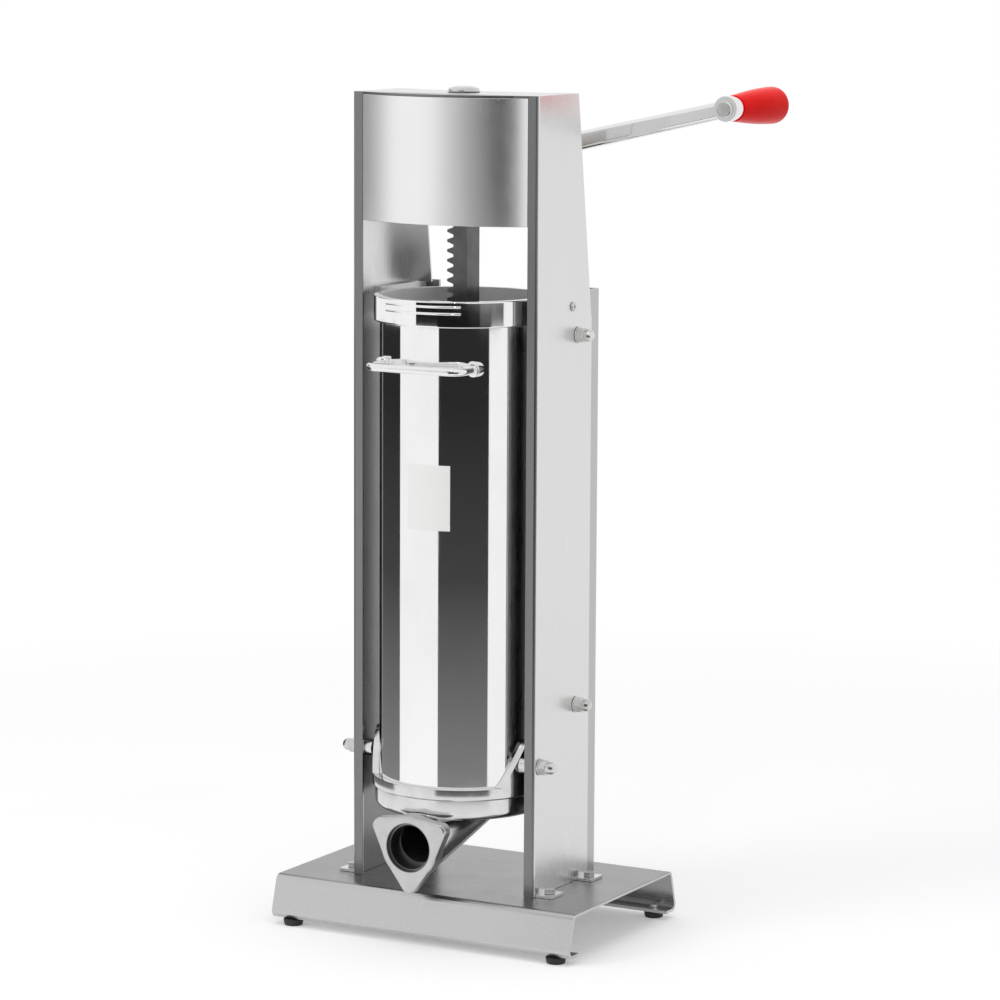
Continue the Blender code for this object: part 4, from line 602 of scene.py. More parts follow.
piston = {
    "dish": 4 * mm,
    "boss": 24 * mm,
    "bore": 7.3 * mm,
    "face": 12 * mm,           # the boss stands this far above it
    "edge": 1 * mm,
    "recess": 15 * mm,
    "recessDepth": 13 * mm,
}
pistonMiddle, pistonHalf = middleOf("piston")
sealMiddle, sealHalf = middleOf("piston_seal")
low = pistonMiddle.z - pistonHalf.z
high = pistonMiddle.z + pistonHalf.z
face = high - piston["face"]
boss = piston["boss"]
bore = piston["bore"]
edge = piston["edge"]
outer = pistonHalf.x
groove = sealHalf.x - 4.6 * mm
sealLow = sealMiddle.z - sealHalf.z - 0.3 * mm
sealHigh = sealMiddle.z + sealHalf.z + 0.3 * mm
dish = piston["dish"]
profile = [(piston["recess"], low), (outer - dish, low),
           *arcPoints((outer - dish, low + dish), dish, -80, 0, 8),
           (outer, sealLow), (groove, sealLow), (groove, sealHigh), (outer, sealHigh),
           *arcPoints((outer - edge, face - edge), edge, 0, 90, 4),
           *arcPoints((boss + dish, face + dish), dish, 270, 180, 6),
           (boss, high - edge), (boss - edge, high),
           (bore, high), (bore, low + piston["recessDepth"]),
           (piston["recess"], low + piston["recessDepth"])]
turnedPiece("pistonBody", profile, barrelAxis, up, cupMetal, "rack", 160,
            replaced=["piston"], slot="cast_aluminium")
low = sealMiddle.z - sealHalf.z
high = sealMiddle.z + sealHalf.z
inner = sealHalf.x - 4.3 * mm
profile = [(inner, low), (sealHalf.x - 1 * mm, low),
           *arcPoints((sealHalf.x - 4 * mm, sealMiddle.z), 4 * mm, -60, 60, 12),
           (sealHalf.x - 1 * mm, high), (inner, high)]
turnedPiece("pistonSeal", profile, barrelAxis, up, sealPlastic, "rack", 160,
            replaced=["piston_seal"], slot="white_plastic")

rackCap = {
    "edge": 0.4 * mm,
    "wall": 2 * mm,
}
capMiddle, capHalf = middleOf("rack_cap")
low = capMiddle.z - capHalf.z
capRadius = capHalf.x
capEdge = rackCap["edge"]
capWall = rackCap["wall"]
profile = [(0, low), (capRadius - capEdge, low), (capRadius, low + capEdge),
           (capRadius, low + capWall)]
for step in range(1, 17):
    angle = step * math.pi / 32
    profile.append((capRadius * math.cos(angle),
                    low + capWall + (2 * capHalf.z - capWall) * math.sin(angle)))
profile[-1] = (0, low + 2 * capHalf.z)
turnedPiece("rackCap", profile, barrelAxis, up, nutSteel, "rack", 64,
            replaced=["rack_cap"], slot="bright_nut")
print("piston made")


cup = {
    "wall": 4 * mm,
    "depth": 31 * mm,          # floor to rim
    "step": 2.5 * mm,
    "stepHeight": 9 * mm,
    "corner": 7 * mm,
    "pinForward": 26 * mm,
    "pinRise": 20 * mm,
    "earRise": 22 * mm,
    "earTop": 12 * mm,
    "earFoot": 34 * mm,
    "earLean": 12 * mm,        # ear's middle behind its pin
    "boss": 8.5 * mm,
    "pinHole": 5.3 * mm,
    "ledge": 5 * mm,           # the gasket's seat, inwards and up from the floor
    "ledgeHeight": 17 * mm,
    "elbowBore": 36 * mm,
    "elbow": 46 * mm,
    "shoulder": 29.5 * mm,
    "spout": 27 * mm,
    "bore": 21.5 * mm,
    "drop": 24.5 * mm,
    "reach": 15 * mm,
}


def cutShape(name, edit):
    bmesh.ops.recalc_face_normals(edit, faces=edit.faces)
    return asObject(name, edit)


def carve(edit, tools):
    # adds to or cuts from a bmesh with other shapes, and gives the result as a new bmesh
    body = cutShape("carveBody", edit)
    for operation, tool in tools:
        modifier = body.modifiers.new(tool.name, "BOOLEAN")
        modifier.operation = operation
        modifier.solver = "EXACT"
        modifier.object = tool
    graph = bpy.context.evaluated_depsgraph_get()
    result = bmesh.new()
    result.from_object(body, graph)
    for thing in [body, *(tool for _, tool in tools)]:
        bpy.data.objects.remove(thing)
    return result


def pegShape(name, radius, start, end, segments=96):
    part = bmesh.new()
    reach = Vector(end) - Vector(start)
    spinProfile(part, [(0, 0), (radius, 0), (radius, reach.length), (0, reach.length)], segments)
    bmesh.ops.transform(part, matrix=turning(start, reach), verts=part.verts)
    return cutShape(name, part)


def levelPeg(name, radius, centre, first, last, segments=96):
    # a peg along Y through a centre
    return pegShape(name, radius, (centre.x, first, centre.z), (centre.x, last, centre.z), segments)


def hullShape(name, rings, segments=96):
    part = bmesh.new()
    for centre, direction, wide in rings:
        bmesh.ops.create_circle(part, segments=segments, radius=wide,
                                matrix=turning(centre, direction))
    wrapHull(part)
    return cutShape(name, part)


pinLevel = middleOf("pivot_pin_right")[0].z
rim = pinLevel - cup["pinRise"]
floorLevel = rim - cup["depth"]
spoutLevel = floorLevel - cup["drop"]
outer = radius + cup["wall"]
inside = radius + 0.3 * mm
stepTop = rim - cup["stepHeight"]
corner = cup["corner"]
ledgeTop = floorLevel + cup["ledgeHeight"]

# the bowl, open at the top
profile = [(0, floorLevel), *arcPoints((outer - corner, floorLevel + corner), corner, -90, 0, 12),
           (outer, stepTop - cup["step"]),
           *arcPoints((outer, stepTop), cup["step"], -70, 0, 6),
           *arcPoints((outer + cup["step"] - 0.8 * mm, rim - 0.8 * mm), 0.8 * mm, 0, 90, 4),
           (inside, rim), (inside, ledgeTop), (inside - cup["ledge"], ledgeTop),
           (inside - cup["ledge"], ledgeTop - 3 * mm), (0, floorLevel + 6 * mm)]
edit = bmesh.new()
spinProfile(edit, profile, 160)

# the ears are a taller ring, trimmed along slanting lines with rounded tops
ears = bmesh.new()
earTop = pinLevel + cup["earRise"]
wide = outer + cup["step"]
spinProfile(ears, [(inside, rim - 4 * mm), (wide, rim - 4 * mm), (wide, earTop + 2 * mm),
                   (inside, earTop + 2 * mm)], 160)
pinY = -cup["pinForward"]
roundTop = cup["earTop"]
earY = pinY + cup["earLean"]
topCentre = Vector((0, earY, earTop - roundTop))
angles = [33 + 9.5 * step for step in range(13)]
cuts = []
for angle in angles:
    outwards = Vector((0, math.cos(math.radians(angle)), math.sin(math.radians(angle))))
    cuts.append((topCentre + outwards * roundTop, outwards))
for way in (-1, 1):
    # from the rounded top down to the rim
    foot = Vector((0, earY + way * cup["earFoot"], rim))
    angle = math.radians(90 - way * 57)
    top = topCentre + Vector((0, math.cos(angle), math.sin(angle))) * roundTop
    line = (foot - top).normalized()
    cuts.append((foot, Vector((0, abs(line.z) * way, abs(line.y)))))
for point, outwards in cuts:
    made = bmesh.ops.bisect_plane(ears, geom=[*ears.verts, *ears.edges, *ears.faces], dist=1e-6,
                                  plane_co=point, plane_no=outwards, clear_outer=True)
    edges = [item for item in made["geom_cut"] if isinstance(item, bmesh.types.BMEdge)]
    if edges:
        bmesh.ops.holes_fill(ears, edges=edges, sides=0)
earShape = cutShape("ears", ears)

neck = Vector((0, -outer - 1 * mm, spoutLevel))
spoutFace = -outer - cup["reach"]
tools = [("UNION", earShape),
         ("UNION", hullShape("elbow", [((0, 0, floorLevel + 1 * mm), up, cup["elbow"]),
                                       (neck, forwards, cup["shoulder"])])),
         ("UNION", levelPeg("spoutTube", cup["spout"], neck, neck.y + 2 * mm, spoutFace))]
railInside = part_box("rail_right")[1][0] - barrelAxis.x - 3.3 * mm
for side in (-1, 1):
    tools.append(("UNION", pegShape("boss", cup["boss"], (side * (outer - 2 * mm), pinY, pinLevel),
                                    (side * railInside, pinY, pinLevel), 48)))
    tools.append(("DIFFERENCE", pegShape("hole", cup["pinHole"],
                                         (side * (radius - 4 * mm), pinY, pinLevel),
                                         (side * (railInside + 4 * mm), pinY, pinLevel), 48)))
boreStart = (0, 0, floorLevel + 10 * mm)
tools.append(("DIFFERENCE", hullShape("elbowBore", [(boreStart, up, cup["elbowBore"]),
                                                    (neck, forwards, cup["bore"] - 1.5 * mm)])))
tools.append(("DIFFERENCE", levelPeg("spoutBore", cup["bore"], neck, neck.y + 4 * mm,
                                     spoutFace - 2 * mm)))
edit = carve(edit, tools)
toAxis(edit)
piece("cupCasting", edit, cupMetal, "stand", ["bottom_cup"], "cast_aluminium", soften=0.6 * mm)
print("cup made")


ringNut = {
    "web": 30 * mm,
    "lobeReach": lobeReach,
    "lobe": 8 * mm,
    "depth": 13 * mm,
    "body": 30.5 * mm,
    "hole": 23.3 * mm,
    "thread": 27.5 * mm,
    "edge": 2.2 * mm,
    "face": 4 * mm,
}
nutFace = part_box("ring_nut")[0][1] - barrelAxis.y
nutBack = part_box("ring_nut")[1][1] - barrelAxis.y
edit = bmesh.new()
circles = [(0, 0, ringNut["web"])]
for lobe in range(3):
    angle = math.radians(-90 + 120 * lobe)
    away = ringNut["lobeReach"] - ringNut["lobe"]
    circles.append((away * math.cos(angle), away * math.sin(angle), ringNut["lobe"]))
for x, z, wide in circles:
    for depth in (0, ringNut["depth"]):
        bmesh.ops.create_circle(edit, segments=72, radius=wide,
                                matrix=turning((x, nutFace + depth, spoutLevel + z), forwards))
wrapHull(edit)
bmesh.ops.dissolve_limit(edit, angle_limit=math.radians(0.5), verts=edit.verts, edges=edit.edges)
bmesh.ops.bevel(edit, geom=[edge for edge in edit.edges if edge.calc_face_angle(0) > 1],
                offset=ringNut["edge"], offset_type="OFFSET", segments=4, profile=0.5,
                affect="EDGES", material=-1)
tools = [
    ("UNION", levelPeg("nutBody", ringNut["body"], neck, nutFace + 2 * mm, nutBack)),
    ("DIFFERENCE", levelPeg("nutHole", ringNut["hole"], neck, nutFace - 2 * mm, nutBack)),
    ("DIFFERENCE", levelPeg("nutThread", ringNut["thread"], neck, spoutFace - 0.5 * mm,
                            nutBack + 2 * mm)),
]
edit = carve(edit, tools)
toAxis(edit)
piece("ringNut", edit, nutMetal, "ring_nut", ["ring_nut"], "cast_aluminium", soften=0.5 * mm)
print("ring nut made")


cover = {
    "sheet": 2 * mm,
    "bulge": 25 * mm,
    "steps": 72,
}
coverLow, coverHigh = cornersOf("head_front_cover")
halfWidth = (coverHigh.x - coverLow.x) / 2
front = coverLow.y - barrelAxis.y
bowRadius = (halfWidth ** 2 + cover["bulge"] ** 2) / (2 * cover["bulge"])
centreY = front + bowRadius
reach = math.degrees(math.asin(halfWidth / bowRadius))
sideY = coverHigh.y - barrelAxis.y
outline = [(-halfWidth, sideY),
           *arcPoints((0, centreY), bowRadius, -90 - reach, -90 + reach, cover["steps"]),
           (halfWidth, sideY)]
edit = bmesh.new()
points = [edit.verts.new((x, y, coverLow.z)) for x, y in outline]
edges = [edit.edges.new(pair) for pair in zip(points, points[1:])]
made = bmesh.ops.extrude_edge_only(edit, edges=edges)
raised = vertsOf(made)
bmesh.ops.translate(edit, verts=raised, vec=(0, 0, coverHigh.z - coverLow.z))
bmesh.ops.recalc_face_normals(edit, faces=edit.faces)
centre = Vector((0, centreY, 0))
flip = [f for f in edit.faces if f.normal.dot(f.calc_center_median() - centre) < 0]
bmesh.ops.reverse_faces(edit, faces=flip)
bmesh.ops.solidify(edit, geom=edit.faces[:], thickness=cover["sheet"])
toAxis(edit)
piece("headCover", edit, drumSteel, "stand", ["head_front_cover"], "brushed_steel",
      soften=0.35 * mm)
print("head cover made")


crank = {
    "rootHeight": 20 * mm,
    "tipHeight": 16.5 * mm,
    "thickness": 10 * mm,
    "hub": 18 * mm,
    "hubStand": 20 * mm,
    "boss": 12 * mm,
    "collar": 11.5 * mm,
    "step": 1 * mm,
    "edge": 4.2 * mm,
    "pinHole": 5.3 * mm,
    "shaftHole": 8.1 * mm,
    "screwHole": 3.3 * mm,
}
armMiddle, armHalf = middleOf("crank_arm")
gripMiddle, gripHalf = middleOf("crank_grip")
bushMiddle = middleOf("main_bush_front")[0]
hub = Vector((bushMiddle.x, 0, bushMiddle.z))
tip = Vector((gripMiddle.x, 0, gripMiddle.z))
armBack = armMiddle.y + armHalf.y
armFront = armBack - crank["step"] - crank["thickness"]
hubFront = armFront - crank["hubStand"]
along = (tip - hub).normalized()
across = Vector((-along.z, 0, along.x))
corners = [hub + across * crank["rootHeight"] / 2, hub - across * crank["rootHeight"] / 2,
           tip - across * crank["tipHeight"] / 2, tip + across * crank["tipHeight"] / 2]
edit = bmesh.new()
face = edit.faces.new([edit.verts.new((corner.x, armFront, corner.z)) for corner in corners])
made = bmesh.ops.extrude_face_region(edit, geom=[face])
moved = vertsOf(made)
bmesh.ops.translate(edit, verts=moved, vec=(0, crank["thickness"], 0))
bmesh.ops.bevel(edit, geom=edit.edges[:], offset=crank["edge"], offset_type="OFFSET", segments=6,
                profile=0.5, affect="EDGES", material=-1)
tools = [
    ("UNION", levelPeg("hub", crank["hub"], hub, hubFront, armBack)),
    ("UNION", levelPeg("boss", crank["boss"], tip, armFront, armBack)),
    ("DIFFERENCE", levelPeg("pinHole", crank["pinHole"], tip, armFront - 2 * mm,
                            armBack + 2 * mm, 48)),
    ("DIFFERENCE", levelPeg("shaftHole", crank["shaftHole"], hub, hubFront - 2 * mm,
                            armBack - 4 * mm, 48)),
    ("DIFFERENCE", levelPeg("screwHole", crank["screwHole"], hub, armBack - 6 * mm,
                            armBack + 2 * mm, 48)),
]
edit = carve(edit, tools)
piece("crankArm", edit, rodSteel, "main_shaft", ["crank_arm"], "polished_steel", soften=0.6 * mm)

collarMid, collarSize = middleOf("grip_collar")
start = collarMid.y - collarSize.y
length = 2 * collarSize.y
wide = crank["collar"]
profile = [(crank["pinHole"], 0), (wide - 0.8 * mm, 0), (wide, 0.8 * mm), (wide, length - 1 * mm),
           (wide - 1 * mm, length), (crank["pinHole"], length)]
turnedPiece("gripCollar", profile, (tip.x, start, tip.z), backwards, rodSteel, "main_shaft", 96,
            replaced=["grip_collar"], slot="polished_steel")

gripPin = {
    "head": 8 * mm,
    "round": 1.6 * mm,
    "thickness": 3 * mm,
    "stem": 5 * mm,
}
pinMid, pinSize = middleOf("grip_pin")
start = pinMid.y - pinSize.y
length = 2 * pinSize.y
head = gripPin["head"]
turn = gripPin["round"]
thick = gripPin["thickness"]
stem = gripPin["stem"]
profile = [(0, 0), (head - turn, 0), *arcPoints((head - turn, turn), turn, -90, 0, 6),
           (head, thick), (stem, thick), (stem, length), (0, length)]
turnedPiece("gripPin", profile, (tip.x, start, tip.z), backwards, nutSteel, "main_shaft", 64,
            replaced=["grip_pin"], slot="bright_nut")

grip = {
    "start": 12.5 * mm,
    "end": 18 * mm,
    "nose": 10 * mm,
    "pin": 5.5 * mm,
    "cover": 18 * mm,
}
start = gripMiddle.y - gripHalf.y
length = 2 * gripHalf.y
body = length - grip["nose"]
profile = [(grip["pin"], 0), (grip["start"] - 1 * mm, 0),
           *arcPoints((grip["start"] - 1 * mm, 1 * mm), 1 * mm, -60, 0, 4)]
for step in range(1, 25):
    share = step / 24
    wide = grip["start"] + (grip["end"] - grip["start"]) * math.sin(share * math.pi / 2)
    profile.append((wide, 1 * mm + (body - 1 * mm) * share))
for step in range(1, 17):
    angle = step * math.pi / 32
    profile.append((grip["end"] * math.cos(angle), body + grip["nose"] * math.sin(angle)))
profile[-1] = (0, length)
profile += [(0, length - grip["cover"]), (grip["pin"], length - grip["cover"])]
turnedPiece("crankGrip", profile, (tip.x, start, tip.z), backwards, gripPlastic, "crank_grip", 128,
            replaced=["crank_grip"], slot="red_plastic")

crankScrew = {
    "headHeight": 4.5 * mm,
    "washerThickness": 2.5 * mm,
    "stem": 3 * mm,
    "washer": 13 * mm,
    "head": 7 * mm,
    "edge": 1 * mm,
    "socket": 3.2 * mm,
    "socketDepth": 2.4 * mm,
}
screwMid, screwSize = middleOf("crank_screw")
start = screwMid.y - screwSize.y
length = 2 * screwSize.y
seat = length - crankScrew["headHeight"]
under = seat - crankScrew["washerThickness"]
stem = crankScrew["stem"]
washer = crankScrew["washer"]
head = crankScrew["head"]
edge = crankScrew["edge"]
socket = crankScrew["socket"]
depth = crankScrew["socketDepth"]
profile = [(0, 0), (stem, 0), (stem, under), (washer - 0.6 * mm, under),
           (washer, under + 0.6 * mm), (washer, seat - 0.5 * mm), (washer - 0.5 * mm, seat),
           (head, seat), (head, length - edge),
           *arcPoints((head - edge, length - edge), edge, 0, 90, 4), (socket, length),
           (socket, length - depth), (0, length - depth)]
turnedPiece("crankScrew", profile, (hub.x, start, hub.z), backwards, nutSteel, "main_shaft", 64,
            replaced=["crank_screw"], slot="bright_nut")
print("crank made")


capNut = {
    "flat": 13 * mm,
    "hex": 8 * mm,
    "dome": 6 * mm,
    "stand": 17 * mm,
    "washer": 8 * mm,
    "washerThickness": 1.2 * mm,
}


def capBolt(name, node, stem, headRadius):
    # a hexagon with chamfered corners, a round dome and the bolt that carries it
    low, high = cornersOf(node)
    middle = (low + high) / 2
    side = 1 if middle.x > barrelAxis.x else -1
    outer = high.x if side > 0 else low.x
    inner = low.x if side > 0 else high.x
    seat = outer - side * capNut["stand"]
    direction = Vector((side, 0, 0))
    edit = bmesh.new()
    bmesh.ops.create_circle(edit, segments=6, radius=capNut["flat"] / 2 / math.cos(math.pi / 6),
                            cap_ends=True)
    made = bmesh.ops.extrude_face_region(edit, geom=edit.faces[:])
    moved = vertsOf(made)
    bmesh.ops.translate(edit, verts=moved, vec=(0, 0, capNut["hex"]))
    bmesh.ops.recalc_face_normals(edit, faces=edit.faces)
    hexagon = cutShape("hexagon", edit)
    # a turned cone trims the hexagon's corners, as on a real nut
    trim = bmesh.new()
    corner = capNut["flat"] / 2 + 1.2 * mm
    face = capNut["flat"] / 2 - 0.1 * mm
    spinProfile(trim, [(0, 0), (corner, 0), (corner, capNut["hex"] - 1 * mm), (face, capNut["hex"]),
                       (0, capNut["hex"])], 96)
    edit = bmesh.new()
    edit.from_mesh(hexagon.data)
    bpy.data.objects.remove(hexagon)
    edit = carve(edit, [("INTERSECT", cutShape("trim", trim))])
    dome = capNut["dome"]
    rise = capNut["stand"] - capNut["hex"] - dome
    profile = [(0, capNut["hex"] - 0.5 * mm), (dome, capNut["hex"] - 0.5 * mm),
               *arcPoints((0, capNut["hex"] + rise), dome, 0, 90, 14)]
    profile[-1] = (0, capNut["stand"])
    addTurned(edit, profile, (0, 0, 0), up, 48)
    washer = capNut["washer"]
    thick = capNut["washerThickness"]
    addTurned(edit, [(stem, 0.05 * mm), (washer, 0.05 * mm), (washer, thick), (stem, thick)],
              (0, 0, 0), up, 64)
    reach = abs(seat - inner)
    if headRadius:
        profile = [(0, -reach), (headRadius - 0.8 * mm, -reach), (headRadius, -reach + 0.8 * mm),
                   (headRadius, -reach + 2.5 * mm), (stem, -reach + 2.5 * mm), (stem, 1 * mm),
                   (0, 1 * mm)]
    else:
        profile = [(0, -reach), (stem - 0.6 * mm, -reach), (stem, -reach + 0.6 * mm),
                   (stem, 1 * mm), (0, 1 * mm)]
    addTurned(edit, profile, (0, 0, 0), up, 48)
    bmesh.ops.transform(edit, matrix=turning((seat, middle.y, middle.z), direction),
                        verts=edit.verts)
    piece(name, edit, nutSteel, "stand", [node], "bright_nut", soften=0.25 * mm, sharp=40)


for side in ("left", "right"):
    for row in ("upper", "lower"):
        capBolt(f"capNut_{side}_{row}", f"rail_bolt_{side}_{row}", 4 * mm, 7 * mm)
    capBolt(f"pivotNut_{side}", f"pivot_pin_{side}", 5 * mm, 0)

screw = {
    "head": 4.5 * mm,
    "stand": 1.8 * mm,
    "stem": 3 * mm,
    "recess": 1.5 * mm,
    "round": 1.2 * mm,
}
for side in ("left", "right"):
    node = f"rail_screw_{side}"
    low, high = cornersOf(node)
    middle = (low + high) / 2
    way = 1 if middle.x > barrelAxis.x else -1
    outer = high.x if way > 0 else low.x
    reach = high.x - low.x
    stand = screw["stand"]
    turn = screw["round"]
    profile = [(0, -reach + stand), (screw["stem"], -reach + stand), (screw["stem"], 0),
               (screw["head"], 0),
               *arcPoints((screw["head"] - turn, stand - turn), turn, 0, 80, 6),
               (screw["recess"], stand), (screw["recess"], stand - turn), (0, stand - turn)]
    turnedPiece(f"smallScrew_{side}", profile, (outer - way * stand, middle.y, middle.z),
                (way, 0, 0), nutSteel, "stand", 48, replaced=[node], slot="bright_nut")
print("nuts and bolts made")


foot = {
    "toe": 9 * mm,
    "wide": 10 * mm,
    "recess": 4.3 * mm,
    "recessDepth": 3.2 * mm,
    "screw": 2.3 * mm,
    "edge": 1 * mm,
}
for row in ("front", "rear"):
    for side in ("left", "right"):
        node = f"foot_{row}_{side}"
        middle, half = middleOf(node)
        height = 2 * half.z
        edge = foot["edge"]
        profile = [(foot["screw"], foot["recessDepth"]), (foot["recess"], foot["recessDepth"]),
                   (foot["recess"], 0), (foot["toe"] - edge, 0),
                   *arcPoints((foot["toe"] - edge, edge), edge, -80, 0, 5),
                   (foot["wide"] - 0.1 * mm, height - edge),
                   *arcPoints((foot["wide"] - edge, height - edge), edge, 0, 90, 4),
                   (foot["screw"], height)]
        turnedPiece(f"rubberFoot_{row}_{side}", profile, (middle.x, middle.y, 0), up, footRubber,
                    "stand", 64, replaced=[node], slot="black_rubber")

bush = {
    "wall": 3.25 * mm,
    "flange": 3 * mm,
    "flangeThickness": 2 * mm,
}
for name in ("main_bush_front", "main_bush_rear", "slow_bush_front", "slow_bush_rear"):
    low, high = cornersOf(name)
    middle = (low + high) / 2
    wide = (high.x - low.x) / 2
    outer = wide - bush["flange"]
    inner = outer - bush["wall"]
    length = high.y - low.y
    way = forwards if "rear" in name else backwards
    end = low.y if way.y < 0 else high.y
    start = high.y if way.y < 0 else low.y
    thick = bush["flangeThickness"]
    profile = [(inner, 0), (outer - 0.5 * mm, 0), (outer, 0.5 * mm), (outer, length - thick),
               (wide, length - thick), (wide, length), (inner, length)]
    turnedPiece(name.replace("_bush_", "Bush_"), profile, (middle.x, start, middle.z), way,
                bushBronze, "stand", 64, replaced=[name], slot="bronze")
print("feet and bushes made")


nodeFinishes = {
    "base_plate": baseSteel,
    "post": postSteel,
    "rail": railSteel,
    "head": postSteel,
    "bearing_plate": gearSteel,
    "rack": rackSteel,
    "rack_guide": sealPlastic,
    "rack_pinion": gearSteel,
    "big_gear": gearSteel,
    "main_shaft": gearSteel,
    "slow_shaft": gearSteel,
    "cup_gasket": sealPlastic,
    "piston_nut": nutSteel,
    "post_bolt": gearSteel,
    "foot_screw": nutSteel,
}
for name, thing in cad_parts.items():
    matches = [key for key in nodeFinishes if name.startswith(key)]
    if matches:
        for holder in thing.material_slots:
            holder.material = nodeFinishes[max(matches, key=len)]
print("frame finished")


def stageMesh(name, material, edit):
    thing = asObject(name, edit)
    thing.data.materials.append(material)
    thing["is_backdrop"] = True
    return thing


def directRays(tree):
    # 1 for rays from the camera, from a mirror and through glass
    rays = tree.nodes.new("ShaderNodeLightPath")
    seen = [Value(tree, rays.outputs[f"Is {kind} Ray"])
            for kind in ("Camera", "Glossy", "Transmission")]
    return seen[0].most(seen[1]).most(seen[2])


studio = {
    "floorColour": grey(0.80),
    "floorReach": 6.0,
    "floorGlow": 0.26,       # added to the lit floor where the camera or a mirror sees it
    "fadeRadius": 2.4,       # metres from the machine at which the floor is plain white
    "fill": 0.55,            # the world's light on matt surfaces
}

floorFinish = Finish("floorFinish", Roughness=0.9)
grain = floorFinish.noise((3, 3, 3), detail=2.0)
paler = tuple(part * 1.01 for part in studio["floorColour"])
floorFinish.feed("Base Color", floorFinish.shade(grain, studio["floorColour"], paler))
seen = directRays(floorFinish.tree)
away = 1 - floorFinish.node("TexGradient", {"gradient_type": "SPHERICAL"},
                            {"Vector": floorFinish.place((1 / studio["fadeRadius"],) * 3)}, out=1)
fade = floorFinish.ramp(away, (0.2, 0), (0.7, 1))
lit = Value(floorFinish.tree, floorFinish.shader.outputs[0])
glow = floorFinish.node("Emission", {}, {"Color": (1, 1, 1, 1),
                                         "Strength": seen * studio["floorGlow"]})
white = floorFinish.node("Emission", {}, {"Color": (1, 1, 1, 1), "Strength": 1.0})
both = floorFinish.node("AddShader", {}, {0: lit, 1: glow})
whole = floorFinish.node("MixShader", {}, {0: seen * fade, 1: both, 2: white})
output = floorFinish.tree.nodes["Material Output"]
floorFinish.tree.links.new(whole.socket, output.inputs["Surface"])
edit = bmesh.new()
bmesh.ops.create_grid(edit, x_segments=1, y_segments=1, size=studio["floorReach"])
stageMesh("floor", floorFinish.material, edit)

world = bpy.data.worlds.new("studio")
bpy.context.scene.world = world
world.use_nodes = True
tree = world.node_tree
background = tree.nodes["Background"]
background.inputs["Color"].default_value = (1, 1, 1, 1)
strength = directRays(tree) * (1 - studio["fill"]) + studio["fill"]
tree.links.new(strength.socket, background.inputs["Strength"])


def softbox(name, place, aim, size, power, mirrored=False):
    lamp = bpy.data.lights.new(name, "AREA")
    lamp.shape = "RECTANGLE"
    lamp.size, lamp.size_y = size
    lamp.energy = power
    thing = bpy.data.objects.new(name, lamp)
    bpy.context.collection.objects.link(thing)
    thing.location = place
    thing.rotation_euler = (Vector(aim) - Vector(place)).to_track_quat("-Z", "Y").to_euler()
    thing.visible_glossy = mirrored


softbox("topLight", (0.1, -0.3, 2.6), (0, 0, 0.3), (2.2, 2.2), 26)
softbox("frontLight", (-1.6, -2.4, 1.7), (0, 0, 0.4), (1.2, 1.6), 22)
softbox("sparkLight", (0.5, -1.9, 2.2), (0.1, 0, 0.7), (0.16, 0.06), 1.8, mirrored=True)


def cardPaint(name, axis, first, last, *stops):
    # a card's own light, which changes from one coordinate to another; a mirror seen in
    # another mirror finds the white room instead
    finish = Finish(name, Roughness=1.0, Base_Color=(0, 0, 0, 1), Specular_IOR_Level=0.0,
                    Emission_Strength=1.0)
    share = (finish.along(axis) - first) / (last - first)
    bounces = finish.node("LightPath", out="Glossy Depth")
    again = 1 - finish.below(bounces, 1.5, 0.2)
    finish.feed("Emission Color", finish.ramp(share, *stops).most(again))
    return finish.material


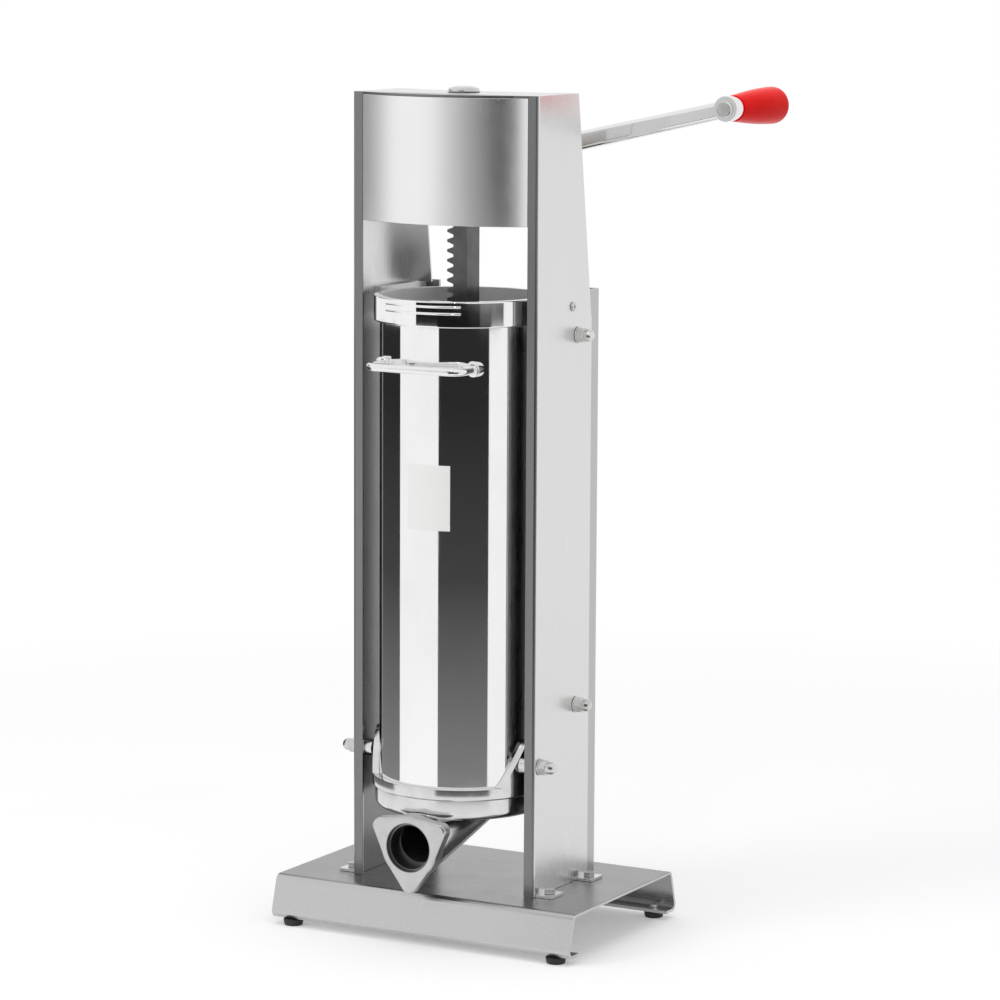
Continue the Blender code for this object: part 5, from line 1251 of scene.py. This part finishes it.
def darkCard(name, paint, azimuths, levels, away):
    # an upright card that only the polished metal sees; azimuths from the front towards +X
    edit = bmesh.new()
    ends = [edit.verts.new((away, 0, level)) for level in levels]
    strip = edit.edges.new(ends)
    first, last = (math.radians(angle - 90) for angle in azimuths)
    bmesh.ops.rotate(edit, verts=edit.verts, cent=(0, 0, 0), matrix=Matrix.Rotation(first, 3, "Z"))
    bmesh.ops.spin(edit, geom=[strip], cent=(0, 0, 0), axis=(0, 0, 1), dvec=(0, 0, 0),
                   angle=last - first, steps=12)
    toAxis(edit)
    card = stageMesh(name, paint, edit)
    card.visible_camera = False
    card.visible_diffuse = False
    card.visible_shadow = False


lowCard = cardPaint("lowCard", "Z", 0.0, 0.5, (0, 0.24), (0.2, 0.17), (0.5, 0.06), (0.9, 0.025))
wideCard = cardPaint("wideCard", "X", -0.60, 0.50, (0, 1), (0.12, 0.97), (0.3, 0.66), (0.5, 0.38),
                     (0.65, 0.22), (0.8, 0.03), (0.9, 0.22), (1, 0.75))
sideCard = cardPaint("sideCard", "Y", 0.30, -0.58, (0, 0.30), (0.5, 0.38), (0.69, 0.58),
                     (0.93, 0.97), (1, 1))
cardAway = {"low": 0.72, "drum": 0.90, "upper": 0.715}     # metres from the cylinder's axis
blackCard = cardPaint("blackCard", "Z", 0.0, 1.0, (0, 0.01), (1, 0.01))
greyCard = cardPaint("greyCard", "Z", 0.0, 1.0, (0, 0.10), (1, 0.10))
darkCard("cardRight", lowCard, (-2, 64), (0, 0.536), cardAway["low"])
darkCard("cardLeft", lowCard, (-128, -62), (0, 0.53), cardAway["low"])
darkCard("cardDrum", wideCard, (-41, 33), (0.585, 0.95), cardAway["drum"])
darkCard("cardDrumSide", sideCard, (-110, -50), (0.585, 0.95), cardAway["drum"])
darkCard("cardUpper", blackCard, (-30, 50), (0.534, 0.572), cardAway["upper"])
darkCard("cardUpperSide", greyCard, (50, 80), (0.534, 0.572), cardAway["upper"])
print("studio made")


camera = {
    "place": (1.81961, -3.34225, 0.96827),
    "target": (-0.00815, -0.03796, 0.42252),
    "lens": 142.31,
    "roll": 0.297,
}
eye = bpy.data.cameras.new("camera")
eye.lens = camera["lens"]
eye.sensor_width = 36
holder = bpy.data.objects.new("camera", eye)
bpy.context.collection.objects.link(holder)
holder.location = camera["place"]
look = (Vector(camera["target"]) - Vector(camera["place"])).to_track_quat("-Z", "Y")
roll = Matrix.Rotation(math.radians(camera["roll"]), 3, "Z")
holder.rotation_euler = (look.to_matrix() @ roll).to_euler()
bpy.context.scene.camera = holder
bpy.context.scene.view_settings.view_transform = "Standard"

low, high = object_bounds()
print("camera set")
